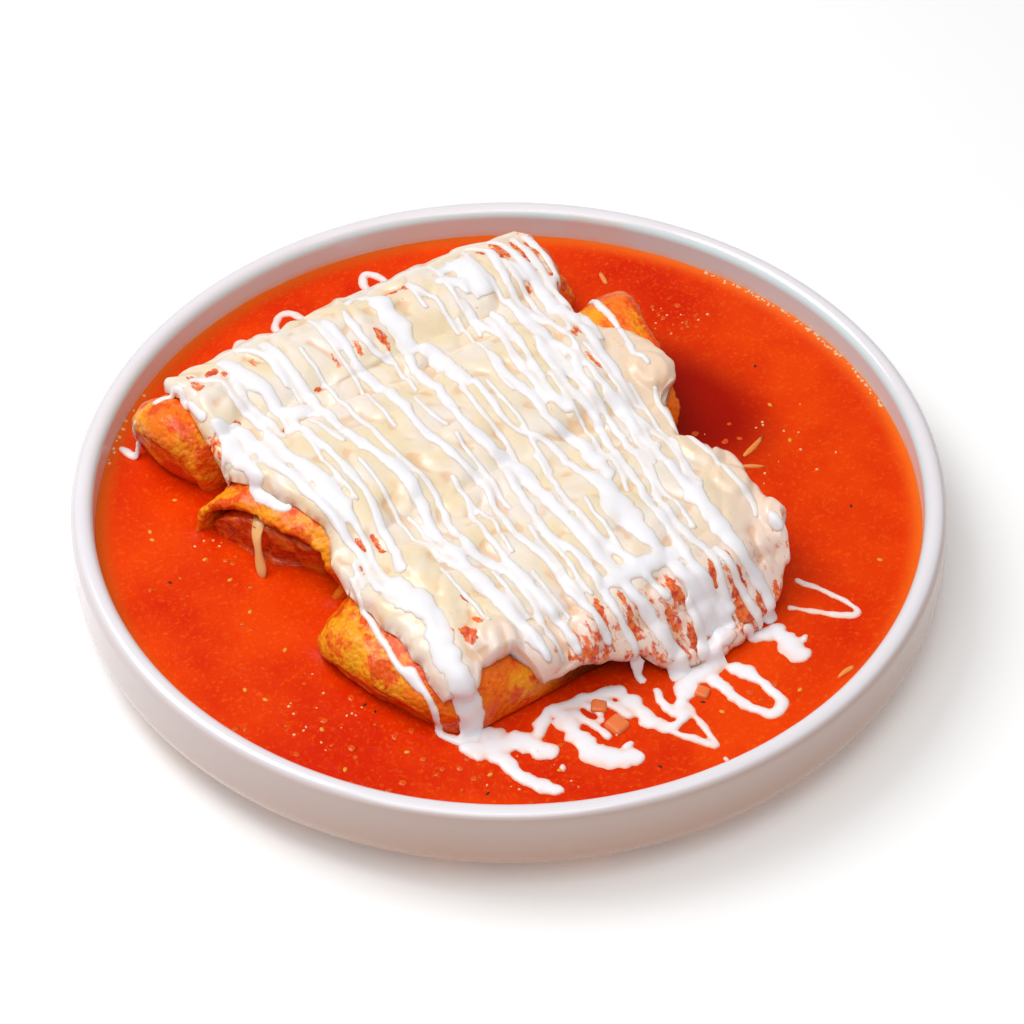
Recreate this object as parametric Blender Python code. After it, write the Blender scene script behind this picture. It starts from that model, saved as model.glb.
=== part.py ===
"""Enchiladas: three filled tortilla rolls side by side in red sauce, under one sheet of melted cheese with
zigzags of cream, in a round shallow stoneware plate. Metres, +Z up. The origin is the middle of the plate's
foot. +X runs along the rolls, and -Y is the front, where the cream runs down onto the sauce."""

import math

import bmesh
import bpy
from mathutils import Matrix, Vector

MM = 0.001

# The plate is turned about +Z
PLATE_HEIGHT = 0.0315
PLATE_WIDEST_RADIUS = 0.1357
PLATE_WIDEST_HEIGHT = 0.0167
RIM_OUTER_RADIUS = 0.1350
RIM_THICKNESS = 0.0070
INNER_RADIUS = RIM_OUTER_RADIUS - RIM_THICKNESS
INNER_CORNER_RADIUS = 0.0140
FLOOR_TOP = 0.0050
FOOT_OUTER_RADIUS = 0.1100
FOOT_INNER_RADIUS = 0.1000
FOOT_RECESS = 0.0015
TURNING_STEPS = 56

# The sauce keeps this much air to the plate and to the rolls that lie in it
GAP = 0.0004
BED_END_GAP = 0.0022
SAUCE_LEVEL = 0.0200
MENISCUS_RISE = 0.0006
MENISCUS_WIDTH = 0.0022

# The rolls: flattened tubes of tortilla. Each end is cut askew: its x at its back side, then at its front side.
# The left ends lean out at the top by the undercut, and recede by as much at the bottom. The tapers are the
# share of its size that a roll loses at its left end and at its right one
ROLL_BOTTOM = 0.0066
ROLLS = {
    "back": {
        "centre_y": 0.0725, "half_width": 0.0200, "top": 0.0435, "squareness": 2.05, "phase": 0.4,
        "left_end": (-0.0805, -0.0755), "right_end": (0.0680, 0.0665), "tapers": (0.02, 0.06),
        "undercut": 0.0045, "seam_deg": -112.0, "turn": 1,
    },
    "middle": {
        "centre_y": 0.0222, "half_width": 0.0296, "top": 0.0425, "squareness": 2.6, "phase": 2.1,
        "left_end": (-0.0815, -0.0675), "right_end": (0.0775, 0.0610), "tapers": (0.13, -0.02),
        "undercut": 0.0025, "seam_deg": -75.0, "turn": -1,
    },
    "front": {
        "centre_y": -0.0408, "half_width": 0.0320, "top": 0.0405, "squareness": 2.6, "phase": 3.7,
        "left_end": (-0.0845, -0.0735), "right_end": (0.0615, 0.0540), "tapers": (0.17, 0.10),
        "undercut": 0.0020, "seam_deg": 184.0, "turn": -1,
    },
}
TAPER_LENGTH = 0.028
WAVINESS = 0.012
WAVES_PER_METRE = 15.0
ROLL_STATIONS = 8

# A tortilla is wound a little over one turn. It turns inwards from half way round, to lie under its outer edge
TORTILLA_THICKNESS = 0.0024
WRAP_PITCH = 0.0033
TURNS_IN_FROM = 0.5
STEPS_PER_TURN = 22
WRAP_STEPS = 27
FILLING_RECESS = 0.0055
FILLING_GAP = 0.0007

# The sheet of melted cheese is draped on what stands under it: the rolls, and softer ridges of cheese that fill
# the valleys between them (middle, height, half width) and run down in front of them onto the sauce
CHEESE_GAP = 0.0008
CHEESE_THICKNESS = 0.0034
CHEESE_EDGE_THICKNESS = 0.0012
CHEESE_EDGE_SHARE = 0.07
CHEESE_SOFTNESS = 16.0
VALLEYS = [(0.0530, 0.0375, 0.0100), (-0.0080, 0.0365, 0.0110)]
VALLEY_CROWN = 0.0100
APRON_TOP = (-0.0690, 0.0345)
APRON_FOOT_Y = -0.0835
APRON_FROM_X = -0.0420
APRON_BLEND = 0.0060
SLOPE_STEP = 0.0006
SHRED_RELIEF = 0.0006
# The shreds' bumps are two crossing waves, each with its radians a metre along x and along y
SHRED_WAVES = ((380, 110), (-70, 330))
CHEESE_ROWS = 21
# How much of the spacing of the rows is closer near the back and front edges, where the sheet turns down
ROW_GATHERING = 0.55
UNDERSIDE_COLUMNS = 10
# Its outline in plan, in millimetres: y along x at the back and at the front, x along y at the left and right
BACK_EDGE = [(-70, 87.0), (-30, 89.0), (20, 88.5), (64, 87.0)]
FRONT_EDGE = [
    (-68, -66.0), (-58, -69.0), (-52, -64.0), (-43, -65.0), (-36, -74.5), (-8, -77.0),
    (4, -87.0), (18, -88.5), (30, -87.0), (41, -82.0), (50, -74.5), (56, -65.0),
]
LEFT_EDGE = [(87, -70.5), (50, -72.5), (20, -65.0), (0, -62.5), (-28, -69.0), (-66, -68.0)]
RIGHT_EDGE = [(87, 64.5), (60, 64.0), (40, 58.5), (0, 58.0), (-30, 53.0), (-66, 55.0)]

# Cream, in millimetres: passes to and fro over the cheese, each with its x at these y, and its half width
PASS_Y = (76, 40, 0, -36, -68)
PASSES = [
    ((-69.0, -67.0, -59.0, -63.0, -62.0), 2.4),
    ((-62.0, -60.0, -54.5, -57.5, -54.5), 2.0),
    ((-52.0, -47.0, -49.0, -51.0, -46.5), 2.2),
    ((-41.0, -37.0, -34.0, -40.0, -38.5), 2.0),
    ((-30.0, -30.0, -28.0, -34.5, -33.0), 1.3),
    ((-19.0, -16.5, -20.5, -29.0, -26.5), 1.8),
    ((-11.0, -11.0, -14.0, -20.5, -20.0), 1.4),
    ((-1.0, -5.0, -4.5, -12.5, -13.5), 2.2),
    ((6.0, 3.5, 2.0, -6.5, -7.0), 1.4),
    ((14.5, 11.5, 7.5, -1.0, 0.5), 1.3),
    ((21.5, 18.0, 13.0, 4.5, 6.5), 1.5),
    ((26.5, 24.5, 19.0, 10.0, 12.0), 1.3),
    ((31.0, 29.5, 24.5, 15.0, 16.5), 1.3),
    ((35.5, 34.0, 30.0, 20.0, 21.5), 1.4),
    ((40.5, 38.5, 34.5, 26.0, 26.5), 1.3),
    ((45.0, 43.0, 39.5, 32.0, 32.0), 1.3),
    ((50.0, 48.5, 44.5, 39.0, 37.5), 1.6),
    ((55.5, 53.5, 52.0, 48.0, 46.0), 1.3),
]
CREAM_HEIGHT = 0.0013

# Loose strands of cream, in millimetres: half width, then the points of the centreline in plan
STRAND_SIDES = 6
STRAND_SUNK = 0.35
STRAND_END = 0.55
ROLL_STRANDS = {
    "middle": (1.2, [(64.0, 45.5), (62.5, 35.0), (61.0, 25.0)]),
    "front": (1.2, [(-71.5, -27), (-73.5, -36), (-74.8, -46), (-75.2, -56), (-73.0, -64)]),
}
SAUCE_STRAND_HEIGHT = 0.0015
SAUCE_STRANDS = {
    "back_loop_left": (1.3, [(-36, 98.5), (-34.5, 108), (-31.5, 111.5), (-28.5, 108), (-27, 98.5)]),
    "back_loop_middle": (1.5, [(-20, 98.5), (-18, 110), (-14, 115), (-9, 112), (-5, 98.5)]),
    "back_loop_right": (1.6, [(16.5, 98.5), (17.5, 112), (21, 117), (24.5, 112), (25.5, 98.5)]),
    "left_crumb": (1.4, [(-88.0, 90), (-86.5, 86), (-85.0, 82)]),
    "front_tail": (3.4, [(-60, -80), (-58.5, -90), (-58, -98.5), (-53, -103)]),
    "front_pool_left": (5.0, [(-50, -80), (-49, -86), (-45, -90)]),
    "front_foot": (4.4, [(-36, -80), (-36, -88), (-34.5, -98.5), (-28, -103.5)]),
    "front_band": (3.4, [(-16, -87), (-16, -95), (-13, -100), (-6, -96.5), (-1, -93)]),
    "front_hairpin": (1.4, [(-12.5, -103), (-8, -111), (-5, -115.5), (-3, -110), (-3, -97)]),
    "front_loop": (2.1, [(9, -93), (11, -108), (17, -114), (21.5, -112), (21, -100), (16, -93.5)]),
    "front_pool_right": (4.6, [(36, -92.5), (35, -97), (37, -101)]),
    "side_hairpin": (1.2, [(45, -84), (53, -91.5), (60, -97), (58, -87), (54.5, -76.5)]),
}

# Diced tomato in the sauce at the front: middle in plan and size in millimetres, turn about +Z in degrees
DICE = [((-24.5, -92.5), 6.2, 15.0), ((-25.0, -84.0), 4.8, 50.0)]
DICE_BEVEL = 0.16
DICE_SHOWING = 0.0020

# The finishes: base colour and roughness
MATERIALS = {
    "stoneware": ((0.78, 0.76, 0.79), 0.22),
    "sauce": ((0.72, 0.05, 0.004), 0.25),
    "tortilla": ((0.86, 0.25, 0.02), 0.50),
    "filling": ((0.30, 0.05, 0.02), 0.50),
    "cheese": ((0.83, 0.70, 0.52), 0.35),
}


def material(slot):
    """The named finish."""
    made = bpy.data.materials.get(slot)
    if made is None:
        made = bpy.data.materials.new(slot)
        made.use_nodes = True
        colour, roughness = MATERIALS[slot]
        shader = made.node_tree.nodes["Principled BSDF"]
        shader.inputs["Base Color"].default_value = (*colour, 1.0)
        shader.inputs["Roughness"].default_value = roughness
    return made


def place(mesh_data, name, slot):
    """Finishes a bmesh as a named object, with its faces outwards and its material on it."""
    bmesh.ops.recalc_face_normals(mesh_data, faces=mesh_data.faces)
    if mesh_data.calc_volume(signed=True) < 0:
        bmesh.ops.reverse_faces(mesh_data, faces=mesh_data.faces)
    mesh = bpy.data.meshes.new(name)
    mesh_data.to_mesh(mesh)
    mesh_data.free()
    mesh.materials.append(material(slot))
    solid = bpy.data.objects.new(name, mesh)
    bpy.context.scene.collection.objects.link(solid)
    return solid


def smooth_step(value):
    """0 up to value 0, 1 from value 1, and smooth between."""
    held = min(1.0, max(0.0, value))
    return held * held * (3 - 2 * held)


def curve_at(points, value):
    """Reads (place, value) points with smooth steps between them, and level past both ends."""
    rising = 1 if points[-1][0] > points[0][0] else -1
    if (value - points[0][0]) * rising <= 0:
        return points[0][1]
    for low, high in zip(points, points[1:]):
        if (value - high[0]) * rising <= 0:
            return low[1] + (high[1] - low[1]) * smooth_step((value - low[0]) / (high[0] - low[0]))
    return points[-1][1]


def curve_through(points, steps):
    """A smooth curve through points in plan, as points."""
    held = [points[0], *points, points[-1]]
    made = []
    for a, b, c, d in zip(held, held[1:], held[2:], held[3:]):
        for i in range(steps):
            t = i / steps
            weights = (-t / 2 + t**2 - t**3 / 2, 1 - 2.5 * t**2 + 1.5 * t**3)
            weights += (t / 2 + 2 * t**2 - 1.5 * t**3, (t**3 - t**2) / 2)
            made.append([sum(w * p for w, p in zip(weights, ends)) for ends in zip(a, b, c, d)])
    return made + [points[-1]]


def arc(centre, radii, start_deg, end_deg, steps):
    """Points of an elliptical arc in a turned profile, as (radius, height)."""
    angles = [math.radians(start_deg + (end_deg - start_deg) * i / steps) for i in range(steps + 1)]
    return [(centre[0] + radii[0] * math.cos(a), centre[1] + radii[1] * math.sin(a)) for a in angles]


def turned(name, profile, slot):
    """A solid of revolution: the profile runs from the axis round to the axis again, and is spun about +Z."""
    mesh_data = bmesh.new()
    verts = [mesh_data.verts.new((radius, 0.0, height)) for radius, height in profile]
    edges = [mesh_data.edges.new(pair) for pair in zip(verts, verts[1:])]
    bmesh.ops.spin(
        mesh_data, geom=verts + edges, cent=(0, 0, 0), axis=(0, 0, 1),
        angle=math.tau, steps=TURNING_STEPS, use_merge=True,
    )
    bmesh.ops.remove_doubles(mesh_data, verts=mesh_data.verts, dist=1e-6)
    return place(mesh_data, name, slot)


def slab(name, outer, inner, slot):
    """A closed sheet between two grids of points, both rows by columns."""
    mesh_data = bmesh.new()
    rows, columns = len(outer), len(outer[0])
    top = [[mesh_data.verts.new(point) for point in row] for row in outer]
    bottom = [[mesh_data.verts.new(point) for point in row] for row in inner]
    for r in range(rows - 1):
        for c in range(columns - 1):
            mesh_data.faces.new((top[r][c], top[r][c + 1], top[r + 1][c + 1], top[r + 1][c]))
            mesh_data.faces.new((bottom[r][c], bottom[r + 1][c], bottom[r + 1][c + 1], bottom[r][c + 1]))
        for c in (0, -1):
            mesh_data.faces.new((top[r][c], top[r + 1][c], bottom[r + 1][c], bottom[r][c]))
    for c in range(columns - 1):
        for r in (0, -1):
            mesh_data.faces.new((top[r][c], bottom[r][c], bottom[r][c + 1], top[r][c + 1]))
    return place(mesh_data, name, slot)


def rod(name, rings, slot):
    """A closed solid through rings of points, with a cap at each end."""
    mesh_data = bmesh.new()
    loops = [[mesh_data.verts.new(point) for point in ring] for ring in rings]
    for low, high in zip(loops, loops[1:]):
        for k, n in zip(range(len(low)), [*range(1, len(low)), 0]):
            mesh_data.faces.new((low[k], low[n], high[n], high[k]))
    mesh_data.faces.new(loops[0])
    mesh_data.faces.new(loops[-1])
    return place(mesh_data, name, slot)


def boolean(solid, operation, tools, solver="EXACT"):
    """Applies one Boolean of a collection of tools to a solid, and removes the tools."""
    group = bpy.data.collections.new(f"{solid.name}_tools")
    for tool in tools:
        group.objects.link(tool)
    modifier = solid.modifiers.new(operation.lower(), "BOOLEAN")
    modifier.operation = operation
    modifier.operand_type = "COLLECTION"
    modifier.collection = group
    modifier.solver = solver
    bpy.context.view_layer.update()
    evaluated = solid.evaluated_get(bpy.context.evaluated_depsgraph_get())
    joined = bpy.data.meshes.new_from_object(evaluated)
    solid.modifiers.clear()
    solid.data = joined
    for tool in tools:
        bpy.data.objects.remove(tool)
    bpy.data.collections.remove(group)


def plate_profile():
    """Inside floor and corner, rounded rim, outside wall that curves in to the foot, foot ring and recess."""
    corner = (INNER_RADIUS - INNER_CORNER_RADIUS, FLOOR_TOP + INNER_CORNER_RADIUS)
    lip = RIM_THICKNESS / 2
    turn_in = PLATE_WIDEST_RADIUS - FOOT_OUTER_RADIUS
    return (
        [(0.0, FLOOR_TOP)]
        + arc(corner, (INNER_CORNER_RADIUS, INNER_CORNER_RADIUS), -90, 0, 4)
        + arc((RIM_OUTER_RADIUS - lip, PLATE_HEIGHT - lip), (lip, lip), 180, 0, 6)
        + arc((FOOT_OUTER_RADIUS, PLATE_WIDEST_HEIGHT), (turn_in, PLATE_WIDEST_HEIGHT), 0, -90, 5)
        + [(FOOT_INNER_RADIUS, 0.0), (FOOT_INNER_RADIUS - FOOT_RECESS, FOOT_RECESS), (0.0, FOOT_RECESS)]
    )


def sauce_profile():
    """The sauce fills the plate's inside up to its level, and climbs a little at the wall."""
    corner = (INNER_RADIUS - INNER_CORNER_RADIUS, FLOOR_TOP + INNER_CORNER_RADIUS)
    radius = INNER_CORNER_RADIUS - GAP
    wall = INNER_RADIUS - GAP
    return (
        [(0.0, FLOOR_TOP + GAP)]
        + arc(corner, (radius, radius), -90, 0, 4)
        + [(wall, SAUCE_LEVEL + MENISCUS_RISE), (wall - MENISCUS_WIDTH, SAUCE_LEVEL), (0.0, SAUCE_LEVEL)]
    )


def roll_size(roll, x):
    """Share of the roll's full section at x: it narrows towards its ends, and is a little uneven."""
    left, right = min(roll["left_end"]), max(roll["right_end"])
    left_loss = roll["tapers"][0] * (1 - smooth_step((x - left) / TAPER_LENGTH))
    right_loss = roll["tapers"][1] * (1 - smooth_step((right - x) / TAPER_LENGTH))
    wave = math.sin(math.tau * WAVES_PER_METRE * x + roll["phase"])
    return 1 - left_loss - right_loss - WAVINESS * (1 + wave)


def roll_point(roll, x, angle, inset):
    """A point of the roll's squarish oval section at x, inset from its outside. Angle 0 is at the back."""
    size = roll_size(roll, x)
    half_height = (roll["top"] - ROLL_BOTTOM) / 2
    across = roll["half_width"] * size - inset
    up = half_height * size - inset
    c, s = math.cos(angle), math.sin(angle)
    power = 2 / roll["squareness"]
    y = roll["centre_y"] + across * math.copysign(abs(c) ** power, c)
    z = ROLL_BOTTOM + half_height * size + up * math.copysign(abs(s) ** power, s)
    return Vector((x, y, z))


def roll_x(roll, share, angle, recess):
    """The x at a share of the roll's length, from its left end to its right one."""
    back_share = (1 + math.cos(angle)) / 2
    left = roll["left_end"][0] * back_share + roll["left_end"][1] * (1 - back_share)
    left += recess - roll["undercut"] * math.sin(angle)
    right = roll["right_end"][0] * back_share + roll["right_end"][1] * (1 - back_share) - recess
    return left + (right - left) * share


def wrap_angle(roll, step):
    """The angle at a step of the winding, counted from the outer edge at the seam."""
    return math.radians(roll["seam_deg"]) + roll["turn"] * math.tau * step / STEPS_PER_TURN


def wrap_inset(step):
    """How far the sheet's outside lies inside the roll's outside, at a step of the winding."""
    return WRAP_PITCH * smooth_step((step / STEPS_PER_TURN - TURNS_IN_FROM) / (1 - TURNS_IN_FROM))


def make_tortilla(name, roll):
    """A wound tortilla, with its outer edge at the seam."""
    outer, inner = [], []
    for i in range(ROLL_STATIONS + 1):
        outer_row, inner_row = [], []
        for k in range(WRAP_STEPS + 1):
            angle = wrap_angle(roll, k)
            x = roll_x(roll, i / ROLL_STATIONS, angle, 0.0)
            outer_row.append(roll_point(roll, x, angle, wrap_inset(k)))
            inner_row.append(roll_point(roll, x, angle, wrap_inset(k) + TORTILLA_THICKNESS))
        outer.append(outer_row)
        inner.append(inner_row)
    return slab(name, outer, inner, "tortilla")


def roll_core(name, roll, inset, recess, slot):
    """A solid of the roll's form, inset from its outside and recessed from its ends."""
    rings = []
    for i in range(ROLL_STATIONS + 1):
        angles = [wrap_angle(roll, k) for k in range(STEPS_PER_TURN)]
        xs = [roll_x(roll, i / ROLL_STATIONS, a, recess) for a in angles]
        rings.append([roll_point(roll, x, a, inset) for x, a in zip(xs, angles)])
    return rod(name, rings, slot)


def make_filling(name, roll):
    """The filling runs the length of the roll inside its innermost turn."""
    inset = WRAP_PITCH + TORTILLA_THICKNESS + FILLING_GAP
    return roll_core(name, roll, inset, FILLING_RECESS, "filling")


def roll_top(roll, x, y):
    """Height of a roll's upper side at a point in plan, or 0 beside the roll."""
    held_x = min(max(x, min(roll["left_end"])), max(roll["right_end"]))
    size = roll_size(roll, held_x)
    off = abs(y - roll["centre_y"]) / (roll["half_width"] * size)
    if off >= 1:
        return 0.0
    power = roll["squareness"]
    return ROLL_BOTTOM + (roll["top"] - ROLL_BOTTOM) / 2 * size * (1 + (1 - off**power) ** (1 / power))


def underlay(x, y):
    """Height of what the cheese lies on: the sauce, the rolls, the filled valleys and the front apron."""
    heights = [SAUCE_LEVEL] + [roll_top(roll, x, y) for roll in ROLLS.values()]
    for middle, height, half_width in VALLEYS:
        heights.append(max(0.0, height - VALLEY_CROWN * ((y - middle) / half_width) ** 2))
    down = min(1.0, max(0.0, (y - APRON_TOP[0]) / (APRON_FOOT_Y - APRON_TOP[0])))
    along = smooth_step((x - APRON_FROM_X) / APRON_BLEND)
    heights.append(SAUCE_LEVEL + (APRON_TOP[1] - SAUCE_LEVEL) * (1 - down) * along)
    return sum(height**CHEESE_SOFTNESS for height in heights) ** (1 / CHEESE_SOFTNESS)


def cheese_point(x, y, rise):
    """A point at a height over the underlay, square to it across the rolls."""
    slope = (underlay(x, y + SLOPE_STEP) - underlay(x, y - SLOPE_STEP)) / (2 * SLOPE_STEP)
    normal = Vector((0.0, -slope, 1.0)).normalized()
    return Vector((x, y, underlay(x, y))) + normal * (CHEESE_GAP + rise)


def edge_share(column_share, row_share):
    """0 at the sheet's outline, rising to 1 a little way in."""
    return smooth_step(min(column_share, 1 - column_share, row_share, 1 - row_share) / CHEESE_EDGE_SHARE)


def cheese_thickness(x, y, column_share, row_share):
    """Full in the middle, thin at the outline, with the bumps of half-melted shreds."""
    bumps = SHRED_RELIEF
    for along_x, along_y in SHRED_WAVES:
        bumps *= math.sin(x * along_x + y * along_y)
    full = CHEESE_THICKNESS - CHEESE_EDGE_THICKNESS + bumps
    return CHEESE_EDGE_THICKNESS + full * edge_share(column_share, row_share)


def sheet_y(x, row_share):
    """The y at a share of the way from the sheet's back edge to its front one, closer near both edges."""
    back = curve_at(BACK_EDGE, x / MM) * MM
    front = curve_at(FRONT_EDGE, x / MM) * MM
    turned_share = (1 - math.cos(math.pi * row_share)) / 2
    return back + (front - back) * ((1 - ROW_GATHERING) * row_share + ROW_GATHERING * turned_share)


def cheese_columns(row_share):
    """The x and the cream height of the columns of one row: both edges, and three columns for each pass."""
    y = sheet_y(0.0, row_share) / MM
    columns = [(curve_at(LEFT_EDGE, y) * MM, 0.0)]
    for places, half_width in PASSES:
        middle = curve_at(list(zip(PASS_Y, places)), y)
        columns += [
            ((middle - half_width) * MM, 0.0),
            (middle * MM, CREAM_HEIGHT),
            ((middle + half_width) * MM, 0.0),
        ]
    return columns + [(curve_at(RIGHT_EDGE, y) * MM, 0.0)]


def stitch(mesh_data, first, second):
    """Triangles between two rows of vertices that run side by side along x."""
    i = j = 0
    while i < len(first) - 1 or j < len(second) - 1:
        second_done = j == len(second) - 1
        if i < len(first) - 1 and (second_done or first[i + 1].co.x <= second[j + 1].co.x):
            mesh_data.faces.new((first[i], first[i + 1], second[j]))
            i += 1
        else:
            mesh_data.faces.new((first[i], second[j + 1], second[j]))
            j += 1


def make_cheese(name):
    """The sheet of melted cheese over the rolls, with the cream's passes as ridges fused to it."""
    mesh_data = bmesh.new()
    top, bottom = [], []
    for r in range(CHEESE_ROWS + 1):
        row_share = r / CHEESE_ROWS
        columns = cheese_columns(row_share)
        left, right = columns[0][0], columns[-1][0]
        upper, lower = [], []
        for x, cream in columns:
            y = sheet_y(x, row_share)
            rise = cheese_thickness(x, y, (x - left) / (right - left), row_share)
            rise += cream * edge_share(0.5, row_share)
            upper.append(mesh_data.verts.new(cheese_point(x, y, rise)))
        for c in range(UNDERSIDE_COLUMNS + 1):
            x = left + (right - left) * c / UNDERSIDE_COLUMNS
            lower.append(mesh_data.verts.new(cheese_point(x, sheet_y(x, row_share), 0.0)))
        top.append(upper)
        bottom.append(lower)
    for rows in (top, bottom):
        for near, far in zip(rows, rows[1:]):
            for c in range(len(near) - 1):
                mesh_data.faces.new((near[c], far[c], far[c + 1], near[c + 1]))
    for r in range(CHEESE_ROWS):
        for c in (0, -1):
            mesh_data.faces.new((top[r][c], top[r + 1][c], bottom[r + 1][c], bottom[r][c]))
    for r in (0, -1):
        stitch(mesh_data, top[r], bottom[r])
    return place(mesh_data, name, "cheese")


def strand(name, centres, half_width, half_height, slot):
    """A strand of cream: an oval tube along its centreline, with blunt tapered ends."""
    rings = []
    for i, centre in enumerate(centres):
        ahead = centres[min(i + 1, len(centres) - 1)] - centres[max(i - 1, 0)]
        side = ahead.cross(Vector((0, 0, 1))).normalized() * half_width
        up = Vector((0, 0, 1)) * half_height
        size = STRAND_END if i in (0, len(centres) - 1) else 1.0
        angles = [math.tau * k / STRAND_SIDES for k in range(STRAND_SIDES)]
        rings.append([centre + (side * math.cos(a) + up * math.sin(a)) * size for a in angles])
    return rod(name, rings, slot)


def sauce_strand(name, half_width, points):
    """Cream that lies on the sauce."""
    half_height = min(half_width * MM, SAUCE_STRAND_HEIGHT)
    level = SAUCE_LEVEL + half_height * STRAND_SUNK
    centres = [Vector((x * MM, y * MM, level)) for x, y in curve_through(points, 2)]
    return strand(name, centres, half_width * MM, half_height, "sauce")


def roll_strand(name, roll, half_width, points):
    """Cream that lies on a bare end of a roll."""
    centres = [
        Vector((x * MM, y * MM, roll_top(roll, x * MM, y * MM) - half_width * MM * STRAND_SUNK))
        for x, y in curve_through(points, 2)
    ]
    return strand(name, centres, half_width * MM, half_width * MM, "tortilla")


def tomato_dice(number, middle, size, turn_deg):
    """A cut cube of tomato, most of it in the sauce."""
    mesh_data = bmesh.new()
    bmesh.ops.create_cube(mesh_data, size=size * MM)
    bmesh.ops.bevel(
        mesh_data, geom=mesh_data.edges[:], offset=size * MM * DICE_BEVEL, segments=1, affect="EDGES",
    )
    turn = Matrix.Rotation(math.radians(turn_deg), 3, "Z")
    bmesh.ops.rotate(mesh_data, verts=mesh_data.verts, matrix=turn)
    height = SAUCE_LEVEL + DICE_SHOWING - size * MM / 2
    bmesh.ops.translate(mesh_data, verts=mesh_data.verts, vec=(middle[0] * MM, middle[1] * MM, height))
    return place(mesh_data, f"dice_{number}", "sauce")


def make_sauce(name):
    """The sauce with the rolls' beds cut out of it, and the cream and dice that lie in it joined on."""
    sauce = turned(name, sauce_profile(), "sauce")
    beds = [roll_core(f"bed_{side}", roll, -GAP, -BED_END_GAP, "sauce") for side, roll in ROLLS.items()]
    boolean(sauce, "DIFFERENCE", beds)
    extras = [sauce_strand(f"cream_{key}", *values) for key, values in SAUCE_STRANDS.items()]
    extras += [tomato_dice(number, *values) for number, values in enumerate(DICE)]
    boolean(sauce, "UNION", extras, "MANIFOLD")
    return sauce


for old in list(bpy.data.objects):
    bpy.data.objects.remove(old)
turned("plate", plate_profile(), "stoneware")
make_sauce("sauce")
for side, roll in ROLLS.items():
    tortilla = make_tortilla(f"tortilla_{side}", roll)
    if side in ROLL_STRANDS:
        boolean(tortilla, "UNION", [roll_strand(f"cream_{side}", roll, *ROLL_STRANDS[side])])
    make_filling(f"filling_{side}", roll)
make_cheese("cheese")
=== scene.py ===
"""Enchiladas in a round plate: the looks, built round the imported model. Metres, +Z up, and -Y is the front.
The sections go up from the table: plate, filled tortillas, sauce, cheese, cream, and what floats."""

import math

import bmesh
import bpy
import numpy as np
from mathutils import Matrix, Vector, noise
from mathutils.bvhtree import BVHTree


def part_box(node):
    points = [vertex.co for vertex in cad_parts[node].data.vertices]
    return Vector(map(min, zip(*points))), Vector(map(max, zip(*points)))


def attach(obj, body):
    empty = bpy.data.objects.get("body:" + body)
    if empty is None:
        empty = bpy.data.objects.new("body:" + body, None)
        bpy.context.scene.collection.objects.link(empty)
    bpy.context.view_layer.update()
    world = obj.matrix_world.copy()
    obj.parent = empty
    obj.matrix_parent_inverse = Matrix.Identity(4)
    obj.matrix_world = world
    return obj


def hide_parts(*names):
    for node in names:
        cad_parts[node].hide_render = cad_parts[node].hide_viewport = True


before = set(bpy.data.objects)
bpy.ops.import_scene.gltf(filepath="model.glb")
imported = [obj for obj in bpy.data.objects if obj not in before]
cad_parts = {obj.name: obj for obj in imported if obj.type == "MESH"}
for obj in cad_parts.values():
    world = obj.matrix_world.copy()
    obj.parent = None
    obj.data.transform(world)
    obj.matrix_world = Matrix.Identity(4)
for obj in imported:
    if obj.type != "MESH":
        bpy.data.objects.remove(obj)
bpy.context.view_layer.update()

# The plate: white stoneware, turned on a wheel and glazed all over but for the foot ring that it stands on.
# Its lip is rounded, and its outside curves in to the foot. A painted orange reflection of the sauce lies low
# on the inner wall.
MM = 0.001
TINY = 0.01 * MM
PLATE_SIDES = 200
RIM_OUTER_RADIUS = 135 * MM
RIM_THICKNESS = 7 * MM
INNER_RADIUS = RIM_OUTER_RADIUS - RIM_THICKNESS
INNER_CORNER_RADIUS = 14 * MM
PLATE_WIDEST_HEIGHT = 16.7 * MM
FLOOR_TOP = 5 * MM
FOOT_OUTER_RADIUS = 110 * MM
FOOT_INNER_RADIUS = 100 * MM
FOOT_RECESS = 1.5 * MM
SAUCE_LEVEL = 20 * MM


def arc(centre, radii, start_deg, end_deg, steps):
    """Points of an elliptical arc in a turned profile, as (radius, height)."""
    angles = np.radians(np.linspace(start_deg, end_deg, steps + 1))
    return [(centre[0] + radii[0] * math.cos(a), centre[1] + radii[1] * math.sin(a)) for a in angles]


def select_only(piece):
    """Makes a piece the active one and the only one selected."""
    bpy.ops.object.select_all(action="DESELECT")
    piece.select_set(True)
    bpy.context.view_layer.objects.active = piece


def turned(name, profile, sides):
    """A closed piece spun about +Z from its profile, which runs from the axis round to the axis again."""
    mesh = bpy.data.meshes.new(name)
    mesh.from_pydata([(r, 0, z) for r, z in profile], [(i, i + 1) for i in range(len(profile) - 1)], [])
    piece = bpy.data.objects.new(name, mesh)
    bpy.context.scene.collection.objects.link(piece)
    select_only(piece)
    bpy.ops.object.mode_set(mode="EDIT")
    bpy.ops.mesh.select_all(action="SELECT")
    bpy.ops.mesh.spin(steps=sides, angle=math.tau, center=(0, 0, 0), axis=(0, 0, 1))
    bpy.ops.mesh.select_all(action="SELECT")
    bpy.ops.mesh.remove_doubles(threshold=TINY)
    bpy.ops.mesh.normals_make_consistent(inside=False)
    bpy.ops.object.mode_set(mode="OBJECT")
    bpy.ops.object.shade_smooth_by_angle(angle=math.radians(50))
    return piece


def colour(code):
    """An sRGB hex colour as linear RGBA."""
    shares = [int(code[i : i + 2], 16) / 255 for i in (0, 2, 4)]
    return (*[s / 12.92 if s <= 0.04045 else ((s + 0.055) / 1.055) ** 2.4 for s in shares], 1.0)


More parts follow.
